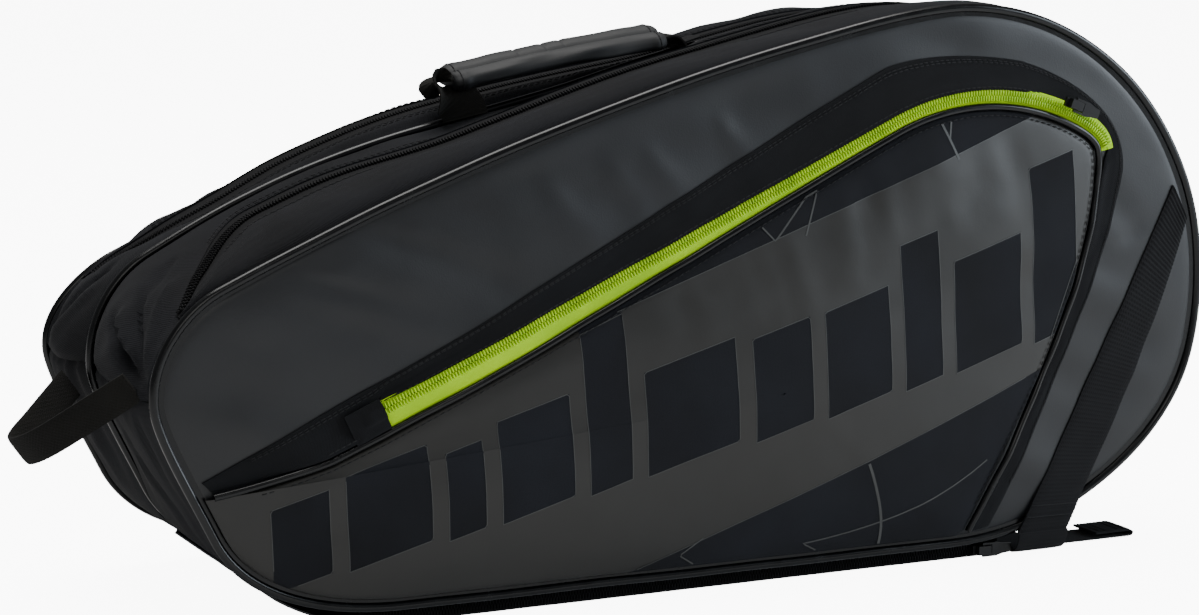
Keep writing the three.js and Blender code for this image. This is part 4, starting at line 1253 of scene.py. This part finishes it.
def mark_film(obj, stripes):
    centres = np.array([p.center for p in obj.data.polygons]) * 1000
    x, z = centres[:, 0], centres[:, 2]
    film = ((z < line_z(FILM_TOP, x)) | (x < FILM_TOP[0][0])) & (z > line_z(FILM_LOW, x))
    for stripe in stripes:
        film &= ~inside_polygon(x, z, stripe)
    obj.data.polygons.foreach_set("material_index", film.astype(np.int32))


def print_shapes():
    """Thin open chevrons and arcs on the dark cloth, above and below the coated field."""
    arc_low = bezier([(51, 23), (80, 26), (126, 34), (165, 60)], 12)
    return [
        ([(16, 204), (28, 191), (57, 224), (46, 193)], 0.9),
        ([(130, 253), (141, 229)], 1.4),
        ([(139, 254), (136, 240)], 1.0),
        (bezier([(86, 66), (95, 46), (100, 32), (99, 18)], 10), 1.6),
        ([(64, 16), (51, 23), *[tuple(c) for c in arc_low]], 0.8),
        ([(-11, 33), (-24, 24), (-13, 17)], 0.8),
    ]


def print_outlines(stripes):
    """The pale rim of the coated field and of the stripes left open in it."""
    return [(rim, 0.4) for rim in [FILM_TOP, FILM_LOW, *([*stripe, stripe[0]] for stripe in stripes)]]


def pocket_piping(flap):
    run = POCKET_EDGE
    sway = 0.25 * ripple(run.s / 45, 1.0, 31.0)
    y = front_face(run.p) - 3.5 + sway
    made = Body()
    made.sweep(tube_on(run, 0.2 * sway, y, 1.95, 12), run.s, np.linspace(0, 12, 12), pocket_follow(run.p))
    made.make("pocket_piping_cord", PIPING, None, "piping", ["pocket_piping"], flap)
    rows = Body()
    p = run.p - run.n * 4.6
    keep = slice(6, len(p) - 8)
    line = with_y(p, pocket_face(p) - 0.15)[keep]
    sew(rows, line, (0, -1, 0), weight=pocket_follow(p)[keep])
    rows.make("pocket_panel_stitching", THREAD, None, "pocket_face", blend=flap)


def pocket_zip(flap):
    run = ZIP_RUN
    for half, sign in (("upper", -1), ("lower", 1)):
        limit = pocket_depth(run.p) - 1.6 if sign > 0 else np.full(len(run.s), 4.8)
        share = np.array([0.05, 0.22, 0.45, 0.7, 0.88, 1.0])
        offsets = sign * limit[:, None] * share
        points = run.p[:, None, :] + run.n[:, None, :] * offsets[..., None]
        lift = np.array([3.7, 3.75, 3.5, 3.3, 3.2, 2.6])
        face = with_y(points, front_face(points) - lift)
        weight = pocket_follow(points) if sign > 0 else 1.0
        made = Body()
        thick_sheet(made, face, REARWARD, 0.8, run.s, np.linspace(0, 9, 6), weight)
        first = 2 + (SMALL_COIL_PITCH / 2 if sign > 0 else 0)
        at = np.arange(first, run.s[-1] - 2, SMALL_COIL_PITCH)
        here = run.at(at)
        p = here.p + here.n * (sign * 1.5)
        origins = with_y(p, front_face(p) - 4.35)
        up = np.broadcast_to([0, -1.0, 0], origins.shape)
        w = pocket_follow(p) if sign > 0 else 1.0
        made.copies(*TOOTH, origins, frames(sign * outward(here), up), w, 1)
        body, blend = (None, flap) if sign > 0 else ("front_lid", None)
        node = f"pocket_zip_{half}"
        made.make(node, [TAPE_LIME, COIL_LIME], body, "zip_lime", [node + "_half"], blend)


def band_edges():
    outer = joined(
        [(-286, 86), (-200, 128)],
        bezier([(-200, 128), (-130, 158), (-20, 220), (98, 278)]),
        bezier([(98, 278), (112, 285), (150, 287), (187, 280)]),
        bezier([(187, 280), (220, 270), (256, 250), (255, 218)]),
        bezier([(255, 218), (248, 170), (205, 85), (172, 20)]),
    )
    right = Run(bezier(POCKET_RIGHT))
    left = Run(bezier(POCKET_LEFT))
    above_coil = (ZIP_RUN.p - ZIP_RUN.n * 2.9)[::-1][:-2]
    across_end = [ZIP_RUN.p[2] + ZIP_RUN.n[2] * 9.5, (-208, 100.2)]
    inner = joined(right.p + right.n * 2.4, above_coil, across_end, left.p + left.n * 2.4)[::-1]
    return spaced(outer, 2.6), inner


def zip_end_tab(body):
    """The band's cloth carried over the lime zip's left end, to a straight hem across it."""
    start, out = ZIP_RUN.p[0], ZIP_RUN.n[2]
    ahead = unit(ZIP_RUN.p[4] - start)
    along = np.linspace(-13, 7, 15)[:, None, None]
    across_zip = np.linspace(-6.4, 10.6, 19)[None, :, None]
    p = start + ahead * along + out * across_zip
    over_coil = smooth(5.5, 2.5, np.abs(across_zip[..., 0])) * smooth(-9, 0, along[..., 0])
    rim = 1 - 0.8 * (np.abs(across_zip[..., 0] - 2.1) / 8.5) ** 10
    lift = 4.7 + 1.7 * over_coil + 0.9 * smooth(-13, -8, along[..., 0]) * rim
    face = with_y(p, front_face(p) - lift)
    thick_sheet(body, face, REARWARD, 0.7, along[:, 0, 0] + 13, across_zip[0, :, 0] + 6.4)


def pocket_band():
    outer, inner = band_edges()
    inner = spaced(inner, lengths(inner)[-1] / (len(outer) - 1))[: len(outer)]
    v = np.array([0, 0.03, 0.08, 0.16, 0.3, 0.45, 0.6, 0.75, 0.88, 0.95, 1.0])
    p = outer[:, None, :] * (1 - v)[None, :, None] + inner[:, None, :] * v[None, :, None]
    width = np.linalg.norm(outer - inner, axis=1)[:, None]
    puff = np.sin(math.pi * v)[None, :] ** 0.6 * np.minimum(width / 22, 1.4)
    s = lengths(outer)
    wrinkle = 0.35 * ripple(s[:, None] / 17, v * 2.5, 41.0) * np.sin(math.pi * v)
    lift = 1.0 + puff * 1.0 + wrinkle + 3.5 * smooth(0.62, 0.94, v) * smooth(12, 20, width)
    outer_face = with_y(p, front_face(p) - lift)
    made = Body()
    thick_sheet(made, outer_face, REARWARD, 0.9, s, np.linspace(0, 22, len(v)))
    zip_end_tab(made)
    band = made.make("pocket_band_cloth", TWILL_FINE, "front_lid", "twill", ["pocket_band"])
    declare_sheet(band, 60, s[-1])
    rows = Body()
    for row_v, keep in ((0.10, slice(10, -10)), (0.16, slice(10, -10)), (0.9, slice(24, -90))):
        q = outer * (1 - row_v) + inner * row_v
        at = np.array([np.interp(row_v, v, lift_row) for lift_row in lift])
        line = with_y(q, front_face(q) - at - 0.12)[keep]
        sew(rows, line, (0, -1, 0), 3.4)
    rows.make("pocket_band_stitching", THREAD, "front_lid", "twill")


# ---- Handle and end loop -------------------------------------------------------------------------

HANDLE = {"left": (-94, 256.2), "right": (42, 290.8), "from": (-103, 271), "to": (27, 290.0)}
WRAP_ROWS, WRAP_COLUMNS = 190, 88
LOOP_FOOT, LOOP_WIDTH = (-316.0, -43.0, 122.0), 17


def facing_front(line):
    """Across the handle strap: it turns its broad side to the front at its left foot."""
    share = smooth(9, 28, lengths(line))[:, None]
    return unit(lerp(np.array([0.95, -0.3, 0.12]), REARWARD, share))


def handle_strap():
    made = Body()
    (x0, z0), (x1, z1) = HANDLE["from"], HANDLE["to"]
    line = joined(
        bezier([(-94, -9, 250), (-98, -9, 268), (-121, -1, 268), (x0 + 2, 0, z0 + 0.3)], 60),
        [(x1, 0, z1)],
        bezier([(x1, 0, z1), (34, 0, 292.6), (37, 0, 289), (41, 0, 283)], 24),
    )
    free = lambda s: smooth(1, 24, np.minimum(s, s[-1] - s))
    strap(made, line, facing_front, 25, 1.7, weight_at=free, rib=2.3)
    made.make("handle_webbing_strap", LOOP_WEAVE, None, "webbing", ["handle_webbing"], ("carcass", "handle"))


def wrap_section(columns):
    """y and height round the wrap, and where it closes: a rear lobe, a seam and a front lobe."""
    half_width, half_height = 16.5, 4.9
    a = np.linspace(0, 2 * math.pi, columns, endpoint=False)
    y = half_width * np.sign(np.cos(a)) * np.abs(np.cos(a)) ** 0.7
    h = half_height * np.sign(np.sin(a)) * np.abs(np.sin(a)) ** 0.75
    above = h > 0
    h = h + above * (1.0 * bell(y, -11, 4.5) + 1.9 * bell(y, 4, 8.0)) - 2.2 * (bell(y, -6, 1.5) * above)
    return a, y, h - 2.4 * smooth(2, -15, y)


def handle_wrap():
    (x0, z0), (x1, z1) = HANDLE["from"], HANDLE["to"]
    start, end = np.array([x0 + 1, 0, z0]), np.array([x1 - 1, 0, z1])
    ahead = unit(end - start)
    up = np.array([-ahead[2], 0, ahead[0]])
    s = np.linspace(0, 1, WRAP_ROWS)
    a, y, h = wrap_section(WRAP_COLUMNS)
    from_end = np.minimum(s, 1 - s)
    hem = 1 - 0.16 * np.exp(-from_end / 0.012) + 0.05 * bell(from_end, 0.05, 0.02)
    length = np.linalg.norm(end - start)
    soft = ripple(s[:, None] * length / 24, a[None, :] * 1.2, 51.0)
    creases = sum(bell(s[:, None] * length, at, 1.3) for at in (44, 61, 72)) * smooth(-16, 2, y)
    bow = 1.6 * np.sin(math.pi * s) ** 0.8
    reach = hem[:, None] * (1 + 0.07 * soft) - 0.09 * creases
    centre = start + (end - start) * s[:, None] + up * bow[:, None]
    points = centre[:, None, :] + REARWARD * (y * reach)[..., None] + up * (h * reach)[..., None]
    wrap = Body()
    wrap.sweep(points, s * length, lengths(points[0]))
    pad = wrap.make("handle_wrap_cloth", WRAP, "handle", "coated", ["handle_wrap"])
    stitches = Body()
    for share in (0.035, 0.965):
        k = int(share * (WRAP_ROWS - 1))
        loop = np.concatenate([points[k], points[k][:1]])
        out = unit(loop - centre[k])
        sew(stitches, loop + out * 0.1, out, 2.7)
    stitches.make("handle_wrap_stitching", THREAD, "handle", "coated")


def anchor(name, x, z):
    """The folded webbing that is sewn to the gusset under each end of the handle."""
    made = Body()
    tilt = math.radians(16)
    ahead = np.array([math.cos(tilt), 0, math.sin(tilt)])
    line = [np.array([x, 0, z - 3.9]) + ahead * d for d in (-9, 0, 9)]
    strap(made, line, (0, 1, 0), 14, 1.3, rib=2.2)
    made.make(f"handle_foot_{name}", WEBBING, "carcass", "webbing", [f"handle_anchor_{name}"])


def end_loop():
    """A strap sewn beside the front piping and past the middle seam, hanging as a rounded fold."""
    droop, roll = math.radians(34), math.radians(8.5)
    flat = joined(
        [(3.5, -60), (-33, -34)],
        bezier([(-33, -34), (-46, -25), (-50, -14), (-50.5, -4)]),
        bezier([(-50.5, -4), (-50, 8), (-44, 16), (-34, 22)]),
        [(-34, 22), (3.5, 57)],
    )
    flat = spaced(flat, 2.0)
    for _ in range(5):
        flat[1:-1] = (flat[:-2] + 2 * flat[1:-1] + flat[2:]) / 4
    flat = spaced(flat, 0.5)
    local = np.stack([flat[:, 0] * math.cos(droop), flat[:, 1], flat[:, 0] * math.sin(droop)], 1)
    turn = np.array([[1, 0, 0], [0, math.cos(roll), math.sin(roll)], [0, -math.sin(roll), math.cos(roll)]])
    line = np.array(LOOP_FOOT) + local @ turn.T
    tangent = unit(np.gradient(line, axis=0))
    side = np.array([math.sin(droop), 0, -math.cos(droop)]) @ turn.T
    side = unit(side - tangent * (tangent @ side)[:, None])
    up = np.cross(side, tangent)
    s = lengths(line)
    made = Body()
    half_thick, yarn = 1.1, 2.3
    v = np.linspace(-0.5, 0.5, 31) * LOOP_WIDTH
    weave = 0.34 * np.cos(2 * math.pi * s[:, None] / yarn) * np.cos(2 * math.pi * v / yarn)
    round_edge = 1 - 0.5 * np.abs(2 * v / LOOP_WIDTH) ** 6
    across_line = line[:, None, :] + side[:, None, :] * v[None, :, None]
    top = across_line + up[:, None, :] * ((half_thick + weave) * round_edge)[..., None]
    bottom = across_line - up[:, None, :] * ((half_thick - weave) * round_edge)[..., None]
    made.sweep(shell(top, bottom), s, np.concatenate([v, v[::-1]]))
    made.make("end_loop_webbing", LOOP_WEAVE, "nose_loop", "webbing", ["end_loop"])


# ---- Inside and underneath -----------------------------------------------------------------------


def cushion(name, low, high, crown, slot, replaces, radius=6):
    """A padded block: flat where it rests, crowned on its broad faces, with rounded ends."""
    low, high = np.array(low, float), np.array(high, float)
    centre, half = (low + high) / 2, (high - low) / 2
    corners = []
    for sx, sy, start in ((1, -1, -90), (1, 1, 0), (-1, 1, 90), (-1, -1, 180)):
        c = np.array([centre[0] + sx * (half[0] - radius), centre[1] + sy * (half[1] - radius)])
        a = np.radians(np.linspace(start, start + 90, 8))
        corners.append(c + radius * np.stack([np.cos(a), np.sin(a)], 1))
    edge = spaced(np.concatenate([*corners, corners[0][:1]]), 4.0)[:-1]
    middle = centre[:2]
    steps = np.append(np.linspace(1, 0.93, 5), np.linspace(0.9, 0.004, 16))
    p = middle + (edge - middle)[:, None, :] * steps[None, :, None]
    rim = 1 - np.clip((steps - 0.9) / 0.1, 0, 1) ** 2.5
    puff = rim * (half[2] - 0.3) + 0.3
    soft = 0.4 * ripple(p[..., 0] / 30, p[..., 1] / 24, 61.0)
    top = np.concatenate([p, (centre[2] + puff + crown * (1 - steps**2) + soft * rim)[..., None]], -1)
    bottom = np.concatenate([p, np.broadcast_to(centre[2] - puff, p.shape[:2])[..., None]], -1)
    made = Body()
    made.sweep(shell(top, bottom), lengths(edge), np.linspace(0, 60, 2 * len(steps)), 1.0, True)
    made.make(name, LINING, "carcass", slot, replaces)


def inside():
    made = Body()
    edge = inset(RING, 4.8, mid_offset)
    bumps = lambda p: 2.2 + 0.45 * ripple(p[..., 0] / 60, p[..., 1] / 45, 71.0)
    plate(made, edge, PANEL_CENTRE, bumps, 4.6, 1, 34, 1.4, back=lambda p: -bumps(p))
    board = made.make("divider_padded_board", LINING, "carcass", "lining", ["divider_board"])
    for name, y0, y1 in (("front", -112, -8), ("rear", 8, 60)):
        replaced = [f"{name}_base_foam"]
        cushion(f"{name}_base_pad", (-165, y0, 15.2), (150, y1, 19.2), 0.8, "foam", replaced)
        y0, y1 = (-108, -38) if name == "front" else (-30, 40)
        replaced = [f"{name}_shoulder_strap"]
        cushion(f"{name}_strap_pad", (-185, y0, 2.3), (176, y1, 10.2), 0.4, "strap_pad", replaced, 22)


HARNESS_FRONT, HARNESS_REAR = -116.0, 60.0


def harness_cover():
    """The coated cover below the base, with its turned-up rear edge."""
    front, rear = HARNESS_FRONT, HARNESS_REAR
    path = joined(bezier([(-243, 17), (-225, 6), (-205, 0), (-180, 0)], 30), [(188, 0)])
    run = Run(spaced(path, 4.0))
    y = np.concatenate([[front, front + 1.5], np.linspace(front + 6, rear - 6, 22), [rear - 1.5, rear]])
    made = Body()
    t = (y - front) / (rear - front)
    lift = -(0.25 + 0.5 * np.exp(-t / 0.03) + 0.35 * np.abs(ripple(run.s[:, None] / 40, y / 30, 81.0)))
    grid = place(run, lift, y)
    thick_sheet(made, grid, -outward(run)[:, None, :], 1.0, run.s, y - front)
    base = LOWER.p[LOWER.p[:, 1] < 60]
    room = np.interp(run.p[:, 0], base[:, 0], base[:, 1])
    tall = np.clip((room - run.p[:, 1]) / -run.n[:, 1] - 1.0, 2.2, 11.6)[:, None]
    up = np.linspace(0.05, 1, 6)[None, :]
    wall = place(run, -tall * up, np.broadcast_to(rear - 0.3 * np.sin(math.pi * up), (len(run.s), 6)))
    thick_sheet(made, wall, -REARWARD, 1.0, run.s, np.linspace(0, 11, 6))
    cover = made.make("harness_cover_cloth", COVER, "carcass", "coated", ["harness_cover"])
    declare_sheet(cover)


def harness_zip():
    """The zip along the front of the cover."""
    zips = Body()
    face = HARNESS_FRONT - 0.4
    x = np.arange(-200, 186.1, 3.0)
    z = np.array([0.8, 1.5, 3.4, 5.2, 7.0, 9.6, 11.0])
    p = np.stack(np.meshgrid(x, z, indexing="ij"), -1)
    outer = with_y(p, face - 1.0 - 0.2 * ripple(x[:, None] / 30, z / 5, 83.0))
    thick_sheet(zips, outer, REARWARD, 0.8, x, z)
    for row, sign in ((6.55, 1), (3.85, -1)):
        at = np.arange(-198 + (SMALL_COIL_PITCH / 2 if sign > 0 else 0), 184, SMALL_COIL_PITCH)
        origins = np.stack([at, np.full(len(at), face - 1.7), np.full(len(at), row)], 1)
        ahead, up = (np.tile(v, (len(at), 1)) for v in ([0, 0, float(sign)], [0, -1.0, 0]))
        zips.copies(*TOOTH, origins, frames(ahead, up), 1.0, 1)
    zips.make("harness_zip_chain", [TAPE_BLACK, COIL_BLACK], "carcass", "zip_black", ["harness_zip"])


# ---- Zip sliders ---------------------------------------------------------------------------------


def hardware():
    """The sliders and pullers keep their CAD shape, with rounded edges."""
    for which in ("front", "rear", "pocket", "harness"):
        for part in ("slider", "puller"):
            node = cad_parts[f"{which}_{part}"]
            node.data.materials.clear()
            node.data.materials.append(HARDWARE)
            soften(node, 0.5)


# ---- Stage ---------------------------------------------------------------------------------------


def seen_white(tree, strength, onto_object, to_camera):
    """Makes a surround look white without lighting the bag from all sides."""
    seen = tree.nodes.new("ShaderNodeLightPath").outputs["Is Camera Ray"]
    level = tree.nodes.new("ShaderNodeMapRange")
    level.inputs["To Min"].default_value = onto_object
    level.inputs["To Max"].default_value = to_camera
    tree.links.new(seen, level.inputs["Value"])
    tree.links.new(level.outputs[0], strength)


def aimed(name, data, stands, looks_at):
    obj = added(name, data)
    obj.location = stands
    obj.rotation_euler = (Vector(looks_at) - Vector(stands)).to_track_quat("-Z", "Y").to_euler()
    return obj


FLOOR_HALF = 6.0
LAMPS = (  # name, where it stands, what it looks at, its size, power and colour
    ("window", (2.3, -1.3, 0.95), (0.2, 0, 0.2), 1.5, 74, (0.82, 0.91, 1)),
    ("top", (0.0, 0.4, 2.6), (0, 0.2, 0), 1.9, 92, (1, 0.99, 0.97)),
    ("front", (-0.9, -2.6, 1.5), (0, 0, 0.15), 1.2, 11, (1, 0.99, 0.95)),
)
CAMERA_STANDS, CAMERA_LOOKS_AT = (-0.761, -1.610, 0.421), (-0.0089, 0, 0.1377)
CAMERA_LENS = 95.4  # mm, on a sensor 36 mm wide


def stage():
    floor_mesh = bpy.data.meshes.new("floor")
    corners = [(x * FLOOR_HALF, y * FLOOR_HALF, 0) for x, y in ((-1, -1), (1, -1), (1, 1), (-1, 1))]
    floor_mesh.from_pydata(corners, [], [(0, 1, 2, 3)])
    floor = added("floor", floor_mesh)
    floor.location.z = -0.0006
    n = Nodes("pale_floor")
    tone = n.mix(n.noise(n.space("object"), 300, 2), (0.86, 0.86, 0.86, 1), (0.9, 0.9, 0.9, 1))
    floor_mesh.materials.append(n.finish(tone, 0.8, None, Emission_Color=(1, 1, 1, 1)))
    seen_white(n.tree, n.shader.inputs["Emission Strength"], onto_object=0.0, to_camera=9.0)

    world = bpy.data.worlds.new("studio")
    bpy.context.scene.world = world
    world.use_nodes = True
    glow = world.node_tree.nodes["Background"]
    glow.inputs[0].default_value = (0.95, 0.97, 1.0, 1)
    seen_white(world.node_tree, glow.inputs[1], onto_object=0.22, to_camera=11.0)

    for name, stands, looks_at, size, power, colour in LAMPS:
        light = bpy.data.lights.new(name, "AREA")
        light.shape = "SQUARE"
        light.size = size
        light.energy = power
        light.color = colour
        aimed(name, light, stands, looks_at)

    camera = bpy.data.cameras.new("camera")
    camera.lens = CAMERA_LENS
    camera.sensor_width = 36
    camera.clip_start, camera.clip_end = 0.05, 50
    bpy.context.scene.camera = aimed("camera", camera, CAMERA_STANDS, CAMERA_LOOKS_AT)


stage()
lids()
pipings()
for half in HALVES:
    Compartment(*half[:4]).make()
for half in HALVES:
    panel_webbing(*half)
under_webbing()
strap_tail()
pocket()
handle_strap()
handle_wrap()
for end_name in ("left", "right"):
    anchor(end_name, *HANDLE[end_name])
end_loop()
inside()
harness_cover()
harness_zip()
hardware()
